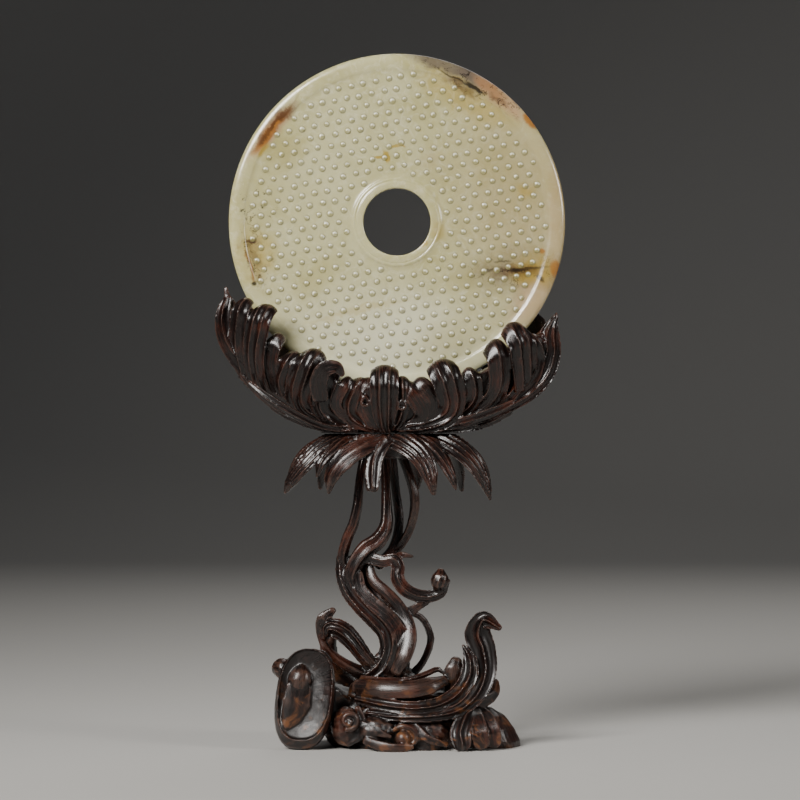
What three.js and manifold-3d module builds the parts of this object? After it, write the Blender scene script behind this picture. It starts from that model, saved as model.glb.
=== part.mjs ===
// A jade bi disc standing upright in its carved hardwood stand.
// Millimetres, +Z up, the disc's face towards -Y. The origin is on the underside of the base, below the disc.
// Three separate pieces: the disc, the leaf cradle that it stands in, and the pedestal that carries the cradle.
import * as THREE from 'three';
import { mergeVertices } from 'three/addons/utils/BufferGeometryUtils.js';
import Module from 'manifold-3d';

const wasm = await Module();
wasm.setup();

// Driving dimensions.
const GAP = 0.3; // clearance between pieces that rest on each other
const DISC = {
  radius: 82.5,
  thickness: 5.8,
  hole: 16.5, // radius of the central hole
  rim: 7.6, // width of the plain band at the edge
  ring: 5.0, // width of the raised ring round the hole
  sunk: 0.8, // depth of the field between them, on each face
  ease: 0.9, // rounding of the edges
  centreZ: 256.5,
  sides: 48,
};
const SEAM_Z = 152.9; // where the cradle sits on the pedestal
const CUP = {
  centreX: -4,
  foot: [31, 14], // half length and half depth at the seam
  brim: [82.5, 26], // half length and half depth at the top
  topZ: 215,
  rimZ: [170, 207], // height of the wall at the middle and at the ends
  wall: 4.5,
  floorZ: 161,
  endLimit: 0.965, // how near to the ends a frond may ride, as a share of the half length
  sides: 22,
};
const LEDGE = { inner: 80, outer: 93, halfDepth: [8, 5.5], halfTurn: 34, steps: 10 }; // the rib that holds the disc
const THINNING = { slack: 0.14, height: 0.12, turn: 0.5, passes: 3 }; // how far points may be left out of the carving
const FRONT = new THREE.Vector3(0, -1, 0);
const UP = new THREE.Vector3(0, 0, 1);

// ---------------------------------------------------------------- solids

/** The volume of a closed indexed mesh, negative where its faces point inwards. */
function signedVolume(geometry) {
  const { index, attributes } = geometry;
  const corner = [0, 1, 2].map(() => new THREE.Vector3());
  let volume = 0;
  for (let i = 0; i < index.count; i += 3) {
    corner.forEach((c, k) => c.fromBufferAttribute(attributes.position, index.getX(i + k)));
    volume += corner[0].dot(corner[1].cross(corner[2])) / 6;
  }
  return volume;
}

/** A closed geometry as a manifold solid with its faces pointing out. */
function toSolid(geometry) {
  const bare = geometry.clone();
  bare.deleteAttribute('normal');
  bare.deleteAttribute('uv');
  const welded = mergeVertices(bare, 1e-4);
  const triVerts = Uint32Array.from(welded.index.array);
  if (signedVolume(welded) < 0) {
    for (let i = 0; i < triVerts.length; i += 3) {
      [triVerts[i], triVerts[i + 1]] = [triVerts[i + 1], triVerts[i]];
    }
  }
  const vertProperties = Float32Array.from(welded.attributes.position.array);
  return new wasm.Manifold(new wasm.Mesh({ numProp: 3, vertProperties, triVerts }));
}

/** A flat list cut into lists of three. */
function threes(list) {
  return Array.from({ length: list.length / 3 }, (_, i) => [...list.slice(3 * i, 3 * i + 3)]);
}

/** The faces grouped by the closed shell that they belong to. */
function shells(faces, vertexCount) {
  const leader = Int32Array.from({ length: vertexCount }, (_, i) => i);
  const find = (v) => {
    let top = v;
    while (leader[top] !== top) {
      leader[top] = leader[leader[top]];
      top = leader[top];
    }
    return top;
  };
  faces.forEach(([a, b, c]) => {
    leader[find(b)] = find(a);
    leader[find(c)] = find(a);
  });
  const groups = new Map();
  faces.forEach((face) => {
    const key = find(face[0]);
    groups.set(key, [...(groups.get(key) ?? []), face]);
  });
  return [...groups.values()];
}

/** A closed mesh's faces without the points that hardly shape it: a point joins a neighbour where that moves the
 *  surface by less than the slack. Points on the level flats stay on them. */
function thinned(faces, points, flats) {
  const around = points.map(() => new Set());
  faces.forEach((face) => face.forEach((v) => around[v].add(face)));
  const neighbours = (v) => new Set([...around[v]].flat().filter((n) => n !== v));
  const onFlat = (v) => flats.filter((z) => Math.abs(points[v].z - z) < 1e-3);
  const shape = (a, b, c) => {
    const normal = new THREE.Vector3().crossVectors(b.clone().sub(a), c.clone().sub(a));
    const longest = Math.max(a.distanceTo(b), b.distanceTo(c), c.distanceTo(a));
    const height = normal.length() / longest;
    return { normal: normal.normalize(), height };
  };
  const fits = (v, w) => {
    if ([...neighbours(v)].filter((n) => around[w].size && neighbours(w).has(n)).length !== 2) {
      return false;
    }
    if (onFlat(v).length && !onFlat(w).length) {
      return false;
    }
    return [...around[v]].filter((face) => !face.includes(w)).every((face) => {
      const before = shape(...face.map((n) => points[n]));
      const after = shape(...face.map((n) => points[n === v ? w : n]));
      const drift = Math.abs(points[v].clone().sub(points[w]).dot(after.normal));
      return after.height > THINNING.height && before.normal.dot(after.normal) > THINNING.turn && drift < THINNING.slack;
    });
  };
  const collapse = (v, w) => {
    [...around[v]].forEach((face) => {
      face.forEach((n) => around[n].delete(face));
      if (!face.includes(w)) {
        face[face.indexOf(v)] = w;
        face.forEach((n) => around[n].add(face));
      }
    });
  };
  for (let pass = 0; pass < THINNING.passes; pass += 1) {
    points.forEach((point, v) => {
      const near = [...neighbours(v)].sort((m, n) => point.distanceTo(points[m]) - point.distanceTo(points[n]));
      const into = near.find((w) => fits(v, w));
      if (into !== undefined) {
        collapse(v, into);
      }
    });
  }
  return [...new Set(around.flatMap((set) => [...set]))];
}

/** A manifold solid as a named three.js mesh, solid where leaves that touch would close in a hollow. A carved
 *  piece gives the heights of its flats and is thinned. */
function toMesh(name, solid, material, flats) {
  const { vertProperties, triVerts } = solid.getMesh();
  const points = threes(vertProperties).map((xyz) => new THREE.Vector3(...xyz));
  const faces = threes(triVerts);
  const geometry = new THREE.BufferGeometry().setFromPoints(points);
  const outer = shells(faces, points.length).filter((shell) => {
    geometry.setIndex(shell.flat());
    return signedVolume(geometry) > 0;
  });
  geometry.setIndex((flats ? thinned(outer.flat(), points, flats) : outer.flat()).flat());
  const mesh = new THREE.Mesh(mergeVertices(geometry.toNonIndexed(), 1e-5), material);
  mesh.geometry.computeVertexNormals();
  mesh.name = name;
  return mesh;
}

/** All the bodies carved as one. */
function carvedAsOne(bodies) {
  return bodies.reduce((whole, body) => whole.add(body));
}

/** A closed body through rings of points, with a fan over each end. Every ring has as many points. */
function skin(rings) {
  const sides = rings[0].length;
  const points = rings.flat();
  const faces = [];
  for (let r = 0; r + 1 < rings.length; r += 1) {
    for (let k = 0; k < sides; k += 1) {
      const next = (k + 1) % sides;
      const [a, b, c, d] = [r * sides + k, r * sides + next, (r + 1) * sides + k, (r + 1) * sides + next];
      faces.push(a, b, d, a, d, c);
    }
  }
  [0, rings.length - 1].forEach((r) => {
    const middle = new THREE.Vector3();
    rings[r].forEach((p) => middle.addScaledVector(p, 1 / sides));
    points.push(middle);
    for (let k = 0; k < sides; k += 1) {
      const edge = [r * sides + ((k + 1) % sides), r * sides + k];
      faces.push(...(r === 0 ? edge : edge.reverse()), points.length - 1);
    }
  });
  const geometry = new THREE.BufferGeometry().setFromPoints(points);
  geometry.setIndex(faces);
  return toSolid(geometry);
}

/** A level oval ring of points. */
function oval(x, y, z, a, b, sides, ripple = () => 1) {
  return Array.from({ length: sides }, (_, k) => {
    const turn = (2 * Math.PI * k) / sides;
    const swell = ripple(turn);
    return new THREE.Vector3(x + a * swell * Math.cos(turn), y + b * swell * Math.sin(turn), z);
  });
}

/** A body swept along a curve. section(u) gives [side, out] pairs, facing(u) the way that out points. */
function sweep(curve, stations, section, facing) {
  const rings = stations.map((u) => {
    const at = curve.getPoint(u);
    const along = curve.getTangent(u);
    const out = facing(u).clone();
    out.addScaledVector(along, -out.dot(along)).normalize();
    const side = new THREE.Vector3().crossVectors(along, out);
    return section(u).map(([s, o]) => at.clone().addScaledVector(side, s).addScaledVector(out, o));
  });
  return skin(rings);
}

/** Even stations from 0 to 1. */
function evenly(steps) {
  return Array.from({ length: steps + 1 }, (_, i) => i / steps);
}

/** A strap's section: a crowned outer face with sharp ridges between its flutes, and a narrower back. */
function flutedSection(width, thick, flutes) {
  const crown = 0.45;
  const fluteDepth = 0.42;
  const back = [0.62, -0.5];
  const ring = [];
  for (let i = 0; i <= 2 * flutes; i += 1) {
    const s = i / flutes - 1;
    const out = 1 - crown * s * s - (i % 2 ? fluteDepth : 0);
    ring.push([(s * width) / 2, out * thick]);
  }
  ring.push([(back[0] * width) / 2, back[1] * thick], [(-back[0] * width) / 2, back[1] * thick]);
  return ring;
}

/** A stem's section: an oval with low ridges along it. */
function ridgedSection(width, deep, ridges) {
  const groove = 0.84;
  return Array.from({ length: 2 * ridges }, (_, k) => {
    const turn = (Math.PI * k) / ridges;
    const reach = k % 2 ? groove : 1;
    return [(Math.cos(turn) * reach * width) / 2, (Math.sin(turn) * reach * deep) / 2];
  });
}

/** A value that runs smoothly through evenly spaced key values, u from 0 to 1. */
function through(keys, u) {
  const at = u * (keys.length - 1);
  const i = Math.min(Math.floor(at), keys.length - 2);
  return THREE.MathUtils.lerp(keys[i], keys[i + 1], at - i);
}

/** A curve through a few [x, y, z] places. */
function route(places) {
  return new THREE.CatmullRomCurve3(places.map((p) => new THREE.Vector3(...p)), false, 'centripetal');
}

/** A ridged stem of changing width along a route. deepShare is its depth as a share of its width. */
function stem(places, widths, { ridges = 4, steps = 10, deepShare = 0.9 } = {}) {
  const section = (u) => {
    const width = through(widths, u);
    return ridgedSection(width, width * deepShare, ridges);
  };
  return sweep(route(places), evenly(steps), section, () => FRONT);
}

/** A fluted strap of changing width along a route, its flutes towards the front or the given way. */
function strap(places, widths, { thick = 3, flutes = 2, steps = 9, facing = FRONT } = {}) {
  const section = (u) => {
    const width = through(widths, u);
    return flutedSection(width, Math.min(thick, width * 0.6), flutes);
  };
  return sweep(route(places), evenly(steps), section, () => facing);
}

/** A ball, used for buds and the eyes of scrolls. */
function ball(x, y, z, radius, squash = 1) {
  const geometry = new THREE.SphereGeometry(radius, 8, 5);
  geometry.scale(1, squash, 1);
  geometry.translate(x, y, z);
  return toSolid(geometry);
}

/** A block, used to cut flat faces. */
function block(low, high) {
  const size = high.map((v, i) => v - low[i]);
  const geometry = new THREE.BoxGeometry(...size);
  geometry.translate(...low.map((v, i) => v + size[i] / 2));
  return toSolid(geometry);
}

// ---------------------------------------------------------------- the jade disc

/** The disc's half profile in radius and depth, from the hole out and back, closed on itself. */
function discProfile() {
  const { radius, hole, rim, ring, sunk, ease, thickness } = DISC;
  const half = thickness / 2;
  const slope = 0.7;
  const face = [
    [hole, half],
    [hole + ring, half],
    [hole + ring + slope, half - sunk],
    [radius - rim - slope, half - sunk],
    [radius - rim, half],
    [radius - ease, half],
    [radius, half - ease],
  ];
  const other = face.map(([r, y]) => [r, -y]).reverse();
  return [...face, ...other, face[0]].map(([r, y]) => new THREE.Vector2(r, y));
}

function discSolid() {
  const geometry = new THREE.LatheGeometry(discProfile(), DISC.sides);
  geometry.translate(0, 0, DISC.centreZ);
  return toSolid(geometry);
}

/** The space that the disc takes up with its clearance, for cutting the groove that it stands in. */
function discRoom() {
  const r = DISC.radius + GAP;
  const half = DISC.thickness / 2 + GAP;
  const profile = [[0, half], [r, half], [r, -half], [0, -half]];
  const geometry = new THREE.LatheGeometry(profile.map((p) => new THREE.Vector2(...p)), DISC.sides);
  geometry.translate(0, 0, DISC.centreZ);
  return toSolid(geometry);
}

// ---------------------------------------------------------------- the leaf cradle

/** Half length and half depth of the boat-shaped cup at a height. */
function cupAt(z) {
  const t = THREE.MathUtils.clamp((z - SEAM_Z) / (CUP.topZ - SEAM_Z), 0, 1);
  const lengthen = 1 - (1 - t) ** 2.2;
  const deepen = 1 - (1 - t) ** 4;
  return [
    THREE.MathUtils.lerp(CUP.foot[0], CUP.brim[0], lengthen),
    THREE.MathUtils.lerp(CUP.foot[1], CUP.brim[1], deepen),
  ];
}

/** The point on the cup's outside at x and z, on the front for face = -1 and the back for 1, and its outward normal. */
function onCup(x, z, face, inset = 1) {
  const [a, b] = cupAt(z);
  const q = THREE.MathUtils.clamp((x - CUP.centreX) / a, -CUP.endLimit, CUP.endLimit);
  const across = Math.sqrt(1 - q * q);
  const point = new THREE.Vector3(x, face * inset * b * across, z);
  const normal = new THREE.Vector3(q / a, (face * across) / b, 0).normalize();
  return { point, normal };
}

/** The middle line of a frond: up over the cup's side on a bent line, then rolled over outwards at its head. */
class FrondLine extends THREE.Curve {
  static rollFrom = 0.8;
  static rollTurn = THREE.MathUtils.degToRad(105);

  constructor({ root, knee, head, roll }, face, inset = 1) {
    super();
    Object.assign(this, { root, knee, head, roll, face, inset });
    const below = this.bent(0.99);
    const end = this.bent(1);
    this.end = end.point;
    this.rise = end.point.clone().sub(below.point).normalize();
    this.out = end.normal.clone().addScaledVector(this.rise, -end.normal.dot(this.rise)).normalize();
  }

  /** The line below the roll, s from 0 to 1. */
  bent(s) {
    const mix = (i) => (1 - s) ** 2 * this.root[i] + 2 * s * (1 - s) * this.knee[i] + s ** 2 * this.head[i];
    const drop = this.roll * s;
    return onCup(mix(0), mix(1) - drop, this.face, this.inset);
  }

  turnAt(t) {
    return (Math.max(0, t - FrondLine.rollFrom) / (1 - FrondLine.rollFrom)) * FrondLine.rollTurn;
  }

  getPoint(t) {
    if (t <= FrondLine.rollFrom) {
      return this.bent(t / FrondLine.rollFrom).point;
    }
    const turn = this.turnAt(t);
    return this.end.clone()
      .addScaledVector(this.rise, this.roll * Math.sin(turn))
      .addScaledVector(this.out, this.roll * (1 - Math.cos(turn)));
  }

  facing(t) {
    if (t <= FrondLine.rollFrom) {
      return this.bent(t / FrondLine.rollFrom).normal;
    }
    const turn = this.turnAt(t);
    return this.out.clone().multiplyScalar(Math.cos(turn)).addScaledVector(this.rise, -Math.sin(turn));
  }
}

/** One frond of the cradle: narrow at its root, widest just below its rolled head. */
function frond(spec, face) {
  const { width, flutes = 1, thick = 3, inset = 1 } = spec;
  const line = new FrondLine(spec, face, inset);
  const stations = [0, 0.3, 0.56, 0.78, 0.9, 1];
  const rootShare = 0.5;
  const tipShare = 0.6;
  const section = (u) => {
    const spread = THREE.MathUtils.lerp(rootShare, 1, Math.min(1, u / 0.78));
    const round = u > 0.9 ? tipShare : 1;
    return flutedSection(width * spread * round, thick * round, flutes);
  };
  return sweep(line, stations, section, (u) => line.facing(u));
}

// The front fronds from left to right. root, knee and head are [x, z]; roll is the radius of the rolled head.
const FRONT_FRONDS = [
  { root: [-36, 156], knee: [-86, 188], head: [-83.5, 224], roll: 1.6, width: 9 },
  { root: [-33, 158], knee: [-88, 188], head: [-73.5, 217], roll: 2.5, width: 7, inset: 0.5 },
  { root: [-30, 157], knee: [-86, 183], head: [-62.5, 214], roll: 3.5, width: 13.5, flutes: 2 },
  { root: [-28, 160], knee: [-70, 180], head: [-59, 197], roll: 2.5, width: 6 },
  { root: [-26, 157], knee: [-70, 176], head: [-53.5, 191], roll: 2.5, width: 7 },
  { root: [-20, 156], knee: [-60, 171], head: [-43.5, 192], roll: 3.5, width: 12.5, flutes: 2 },
  { root: [-24, 156], knee: [-46, 172], head: [-32, 187], roll: 4, width: 12, flutes: 2 },
  { root: [-16, 156], knee: [-31, 166], head: [-26.5, 180], roll: 2.5, width: 8 },
  { root: [-12, 155], knee: [-25, 163], head: [-18.5, 177.5], roll: 3, width: 9.5 },
  { root: [-5, 155], knee: [-6, 165], head: [-6, 182.5], roll: 4.5, width: 14, flutes: 2, thick: 3.6 },
  { root: [-1, 156], knee: [2.5, 165], head: [2.5, 178], roll: 3, width: 8 },
  { root: [2, 155.5], knee: [18, 164], head: [9.8, 177], roll: 3, width: 8 },
  { root: [6, 155.5], knee: [25, 165], head: [15.5, 179], roll: 3, width: 8 },
  { root: [10, 155.5], knee: [34, 167], head: [26, 185], roll: 4, width: 14, flutes: 2, thick: 3.4 },
  { root: [16, 157], knee: [42, 170], head: [36.5, 182], roll: 2.5, width: 6 },
  { root: [16, 156], knee: [56, 173], head: [48.5, 195], roll: 2.5, width: 9.5 },
  { root: [20, 156], knee: [66, 176], head: [59, 204], roll: 4, width: 13.5, flutes: 2 },
  { root: [24, 156], knee: [77, 181], head: [69, 210], roll: 2.5, width: 9 },
  { root: [26, 156], knee: [83, 182], head: [76.5, 212.5], roll: 1.6, width: 9 },
];
const BACK_FRONDS = 9;

/** The back fronds, broader and evenly spread. */
function backFronds() {
  const { centreX } = CUP;
  return Array.from({ length: BACK_FRONDS }, (_, i) => {
    const a = (2 * i) / (BACK_FRONDS - 1) - 1;
    const headX = centreX + 77 * a;
    const headZ = 183 + 32 * Math.abs(a) ** 1.8;
    return {
      root: [centreX + 24 * a, 156],
      knee: [centreX + 88 * a, 166 + 20 * Math.abs(a)],
      head: [headX, headZ],
      roll: 3.5,
      width: 19,
      flutes: 2,
    };
  });
}

/** The cup's wall and floor behind the fronds: a boat with its ends higher than its middle. */
function cupShell() {
  const { centreX, rimZ, wall, floorZ, sides } = CUP;
  const levels = [0, 0.3, 0.65, 1];
  const ring = (share, inset, lowest) => Array.from({ length: sides }, (_, k) => {
    const turn = (2 * Math.PI * k) / sides;
    const brim = THREE.MathUtils.lerp(rimZ[0], rimZ[1], Math.abs(Math.cos(turn)) ** 2.5);
    const z = THREE.MathUtils.lerp(lowest, brim, share);
    const [a, b] = cupAt(z);
    return new THREE.Vector3(centreX + (a - inset) * Math.cos(turn), (b - inset) * Math.sin(turn), z);
  });
  const outer = levels.map((share) => ring(share, 0, SEAM_Z));
  const inner = levels.map((share) => ring(share, wall, floorZ)).reverse();
  return skin([...outer, ...inner]);
}

/** The long narrow leaves that clasp the cup from below, one on each side. */
function sepals() {
  const facing = new THREE.Vector3(0, -0.8, -0.6);
  return [
    strap([[-22, -12, 154.5], [-38, -14, 158.5], [-56, -14, 168.5], [-69.5, -12, 178.5]], [6, 6, 6.5, 5],
      { thick: 2.6, flutes: 1, steps: 5, facing }),
    strap([[14, -13, 155], [32, -16, 159], [46, -16, 163.5], [56, -14, 168]], [5, 6, 6, 3.5],
      { thick: 2.4, flutes: 1, steps: 5, facing }),
  ];
}

/** The curved rib inside the cup whose groove holds the disc's edge. */
function ledge() {
  const { inner, outer, halfDepth, halfTurn, steps } = LEDGE;
  return skin(evenly(steps).map((u) => {
    const turn = THREE.MathUtils.degToRad(halfTurn * (2 * u - 1));
    const at = (r, y) => new THREE.Vector3(r * Math.sin(turn), y, DISC.centreZ - r * Math.cos(turn));
    const [below, above] = halfDepth;
    return [at(outer, -below), at(outer, below), at(inner, above), at(inner, -above)];
  }));
}

function cradleSolid() {
  const fronds = [
    ...FRONT_FRONDS.map((spec) => frond(spec, -1)),
    ...backFronds().map((spec) => frond(spec, 1)),
  ];
  const belowSeam = block([-100, -60, SEAM_Z - 20], [100, 60, SEAM_Z]);
  return carvedAsOne([cupShell(), ledge(), ...sepals(), ...fronds])
    .subtract(discRoom())
    .subtract(belowSeam);
}

// ---------------------------------------------------------------- the pedestal

const CANOPY = { x: -5, topZ: SEAM_Z - GAP, root: 0.25, sides: 14 };

// The drooping leaves under the seam: tip [x, y, z], greatest width, flutes, and how far the face turns forwards.
const CANOPY_LEAVES = [
  { tip: [-56, -13, 124], width: 15, flutes: 3, turned: 1.5 },
  { tip: [-32.5, -28, 123], width: 9.5, turned: 0.6 },
  { tip: [-11, -31, 127.5], width: 8, turned: 0.5 },
  { tip: [5, -26, 136], width: 18, turned: 0.3 },
  { tip: [18, -28, 125], width: 11, turned: 0.5 },
  { tip: [30, -21, 125.5], width: 11, turned: 1 },
  { tip: [46, -11, 120.5], width: 15, flutes: 3, turned: 1.6 },
  { tip: [48, 10, 126], width: 13, turned: -1 },
  { tip: [28, 28, 124], width: 15, turned: -0.5 },
  { tip: [0, 33, 125], width: 14, turned: 0 },
  { tip: [-26, 30, 124], width: 14, turned: -0.5 },
  { tip: [-50, 14, 125], width: 13, turned: -1 },
];

/** One drooping leaf: out from under the seam, over a shoulder and down to a point. */
function canopyLeaf({ tip, width, flutes = 2, turned }) {
  const centre = new THREE.Vector3(CANOPY.x, 0, CANOPY.topZ);
  const end = new THREE.Vector3(...tip);
  const radial = end.clone().sub(centre).setZ(0);
  const at = (share, z) => centre.clone().addScaledVector(radial, share).setZ(z);
  const curve = new THREE.CubicBezierCurve3(
    at(CANOPY.root, CANOPY.topZ - 3),
    at(0.6, CANOPY.topZ - 3),
    at(0.92, CANOPY.topZ - 9),
    end,
  );
  const facing = radial.clone().normalize().add(UP).addScaledVector(FRONT, turned);
  const section = (u) => {
    const spread = u < 0.5 ? 0.7 + 0.6 * u : 1 - ((u - 0.5) / 0.5) ** 2 * 0.8;
    return flutedSection(width * spread, 2.8 * Math.max(spread, 0.4), flutes);
  };
  return sweep(curve, [0, 0.25, 0.5, 0.7, 0.87, 1], section, () => facing);
}

/** The heart of the leaf whorl, flat on top where the cradle sits. */
function canopyHeart() {
  const { x, topZ, sides } = CANOPY;
  const layers = [[27, 17, 0], [31, 21, -3], [26, 17, -8], [12, 9, -12]];
  return skin(layers.map(([a, b, dz]) => oval(x, 0, topZ + dz, a, b, sides)));
}

/** The three stems and the loop between the leaf whorl and the trunk, and the trunk down to the foot. */
function stems() {
  const left = [
    [-14, -3, 143], [-19, -6, 130], [-19.8, -7, 120], [-22, -7, 110], [-26, -5, 98], [-25.5, -3, 88], [-21, -2, 79],
  ];
  const front = [
    [-6, 0, 144], [-5.2, -3, 126], [-5, -4, 113], [-8.5, -5, 103], [-15.5, -6, 96], [-19, -6, 88], [-16, -5, 77],
  ];
  const behind = [[-3, 7, 144], [-0.8, 7, 126], [1, 6, 108], [-2, 4, 96], [-9, 2, 88]];
  const loop = [[0, 1, 145], [5, -1, 135], [8.4, -2, 122], [8, -1, 112], [4, 3, 101], [-5, 5, 90]];
  const trunk = [
    [-21, -2, 90], [-20.5, -3, 80], [-15.5, -4, 73], [-8, -5, 66], [-1, -6, 59.5], [2.2, -6, 52], [1.5, -6, 44], [-3, -5, 33],
  ];
  return [
    stem(left, [6, 5.2, 5.2, 5.4, 6.2, 7, 8], { steps: 8 }),
    stem(front, [7.5, 6.4, 6.6, 7.4, 9.5, 9, 8], { steps: 10 }),
    stem(behind, [5.5, 4.6, 5, 6, 7], { ridges: 3, steps: 6 }),
    stem(loop, [5.5, 5, 5.2, 5.2, 5, 6], { ridges: 3, steps: 8 }),
    stem(trunk, [13, 16, 16.5, 16.5, 17, 17.5, 14, 20], { ridges: 5, steps: 11, deepShare: 0.85 }),
  ];
}

/** The C-shaped tendril on the trunk's right, with its bud and the small leaf below it. */
function tendril() {
  const loop = [
    [-15, -5, 93], [-8, -6, 92], [-2, -7, 91], [1.5, -7, 88.5], [0.4, -8, 82.8], [3.4, -8, 76.9],
    [9.5, -8, 73.2], [17.2, -8, 73], [22.8, -8, 76.2], [24.3, -8, 81.5],
  ];
  return [
    stem(loop, [6, 5.5, 5.5, 5.4, 5.4, 5.2, 5, 4.6, 4], { ridges: 3, steps: 12 }),
    stem([[1.5, -6, 87], [3.6, -4, 92], [8, -1, 94.5]], [5, 4.6, 3], { ridges: 3, steps: 3 }),
    ball(21.6, -8, 83.6, 4.2),
    strap([[1, -4, 66], [8, -8, 71], [13, -9, 70.5], [18, -9, 67.5]], [4, 5, 4, 1.6], { steps: 5, flutes: 1 }),
    stem([[2, 1, 66], [12, 4, 62], [16.5, 5, 52], [13, 4, 41], [6, 2, 33]], [3, 3.6, 4, 4, 5], { ridges: 3, steps: 6 }),
  ];
}

/** The rocky mound that the trunk grows from. */
function mound() {
  const layers = [[38, 30, -2], [41, 32, 6], [37, 28, 15], [28, 22, 23], [16, 14, 31], [8, 8, 37]];
  const ripple = (turn) => 1 + 0.045 * Math.cos(5 * turn + 0.6) + 0.03 * Math.cos(9 * turn);
  return skin(layers.map(([a, b, z]) => oval(7 - z * 0.25, 5 - z * 0.1, z, a, b, 20, ripple)));
}

/** The broad fungus-shaped lobe at the front left: a dished plate with a ball in its hollow. */
function fungus() {
  const centre = [-44.5, 26.5];
  const half = [14.6, 22.8];
  const lean = -0.16;
  const sides = 14;
  const layers = [[0.62, -4], [0.92, -9], [1, -15], [1, -22], [0.9, -26], [0.76, -24.5], [0.6, -20]];
  const ring = ([share, y]) => Array.from({ length: sides }, (_, k) => {
    const turn = (2 * Math.PI * k) / sides;
    const up = half[1] * share * Math.sin(turn);
    const across = half[0] * share * Math.cos(turn) * (1 + 0.1 * Math.sin(turn));
    return new THREE.Vector3(centre[0] + across + up * lean * -1, y, centre[1] + up);
  });
  return [
    skin(layers.map(ring)),
    ball(-46.5, -21, 34, 5.4),
    strap([[-49, -21, 27], [-53, -22, 18], [-56, -23, 9]], [3, 4, 3], { thick: 2, flutes: 1, steps: 4 }),
    stem([[-38, -8, 22], [-26, -4, 18], [-12, 0, 16]], [26, 22, 20], { steps: 2, ridges: 3 }),
  ];
}

/** A scroll seen face on: a strap wound in a shrinking spiral round an eye. */
function scroll(x, y, z, radius, turns, width, start) {
  const steps = Math.round(turns * 9);
  const places = evenly(steps).map((u) => {
    const turn = start + 2 * Math.PI * turns * u;
    const reach = radius * (1 - 0.72 * u);
    return [x + reach * Math.cos(turn), y - 2.5 * u, z + reach * Math.sin(turn)];
  });
  return stem(places, [width, width * 0.9, width * 0.6], { steps, ridges: 3, deepShare: 1.5 });
}

/** The scrolls and eyes along the front of the base. */
function frontScrolls() {
  return [
    scroll(-23, -25, 15, 6, 1.2, 4.6, 4.2),
    ball(-22.5, -26.5, 15, 3.2),
    ball(-24, -20, 13, 8.5, 0.7),
    scroll(3, -29, 8.5, 5.2, 1.1, 3.6, 2.6),
    ball(3, -30, 8.5, 2.8),
    strap([[-16, -30, 4], [-6, -33, 3], [2, -34, 2.6], [9, -31, 5]], [4, 5, 5, 3], { steps: 5, flutes: 1 }),
    ball(-9, -26, 12, 8, 0.8),
  ];
}

/** The wave bands that wrap the trunk's foot and run up into the two fronds on the right. */
function waves() {
  return [
    strap([[-20, -12, 35], [-8, -19, 36], [6, -20, 36.5], [16, -18, 38.5], [23, -14, 42]], [5, 6, 6, 5, 2.5],
      { steps: 7, flutes: 1 }),
    strap([[-21, -15, 31], [-5, -23, 29], [10, -25, 26.5], [22, -23, 28], [31, -18, 34], [34.5, -15, 42], [33, -13, 51]],
      [7, 8, 8, 8, 7, 6, 2], { thick: 4, steps: 10 }),
    strap([[-19, -18, 24], [-2, -26, 21.5], [12, -28, 20], [24, -26, 22], [34.5, -21, 29], [40, -16, 40], [39.8, -14, 52],
      [40.5, -14, 60.5], [44, -16, 64], [49, -18, 61]],
      [6, 8, 8, 8, 9, 11, 12.5, 12, 8, 4], { thick: 4, steps: 12, flutes: 3 }),
    strap([[24, -16, 32], [27, -15, 38], [28, -14, 44]], [5, 8, 5], { thick: 4, steps: 3, flutes: 1 }),
    stem([[20, -10, 26], [34, -8, 26], [46, -4, 28], [48, 0, 34]], [18, 15, 8, 4], { ridges: 3, steps: 4 }),
  ];
}

/** The shell fan and the plain end at the front right of the base. */
function rightEnd() {
  const pivot = [38, -14, 20];
  const ribs = 5;
  const fan = evenly(ribs - 1).map((u) => {
    const foot = [26 + 24 * u, -27 + 7 * u * u, 2];
    const middle = [(pivot[0] + foot[0]) / 2, foot[1] - 1, 13 - 2 * u];
    return strap([pivot, middle, foot], [3, 7, 5.5], { thick: 4.5, steps: 4, flutes: 1 });
  });
  const lump = [[13, 16, -2], [14, 17, 5], [10.5, 13, 14], [5, 7, 19]];
  return [...fan, skin(lump.map(([a, b, z]) => oval(46.5 - z * 0.2, -3, z, a, b, 10)))];
}

/** The open arch of root at the left of the trunk, with its bead. */
function leftArch() {
  return [
    stem([[-10, -8, 32], [-22, -11, 38], [-31, -12, 43], [-36, -12, 50], [-36.2, -12, 58], [-34.5, -13, 65], [-31.5, -14, 70]],
      [10, 8.5, 7, 5.4, 5.6, 6, 2.6], { ridges: 3, steps: 9 }),
    stem([[-35, -12, 54], [-32.5, -13, 59.5], [-27.5, -14, 60.5], [-21.5, -13, 56], [-17, -11, 48], [-13, -9, 40], [-8, -7, 34]],
      [3.5, 5.5, 6, 6, 6, 6, 7], { ridges: 3, steps: 9 }),
    ball(-6.8, -8.6, 43, 2.8),
  ];
}

/** Plainer waves and a frond at the back of the base. */
function backOfBase() {
  const facing = new THREE.Vector3(0, 1, 0);
  return [
    strap([[24, 26, 20], [4, 31, 22], [-16, 29, 25], [-30, 23, 34], [-34, 19, 46], [-30, 17, 56]],
      [7, 9, 9, 10, 9, 3], { thick: 4, steps: 9, facing }),
    strap([[-38, 24, 10], [-14, 34, 12], [12, 35, 13], [36, 26, 14], [44, 20, 26]], [6, 8, 8, 8, 3],
      { thick: 4, steps: 8, facing }),
  ];
}

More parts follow.
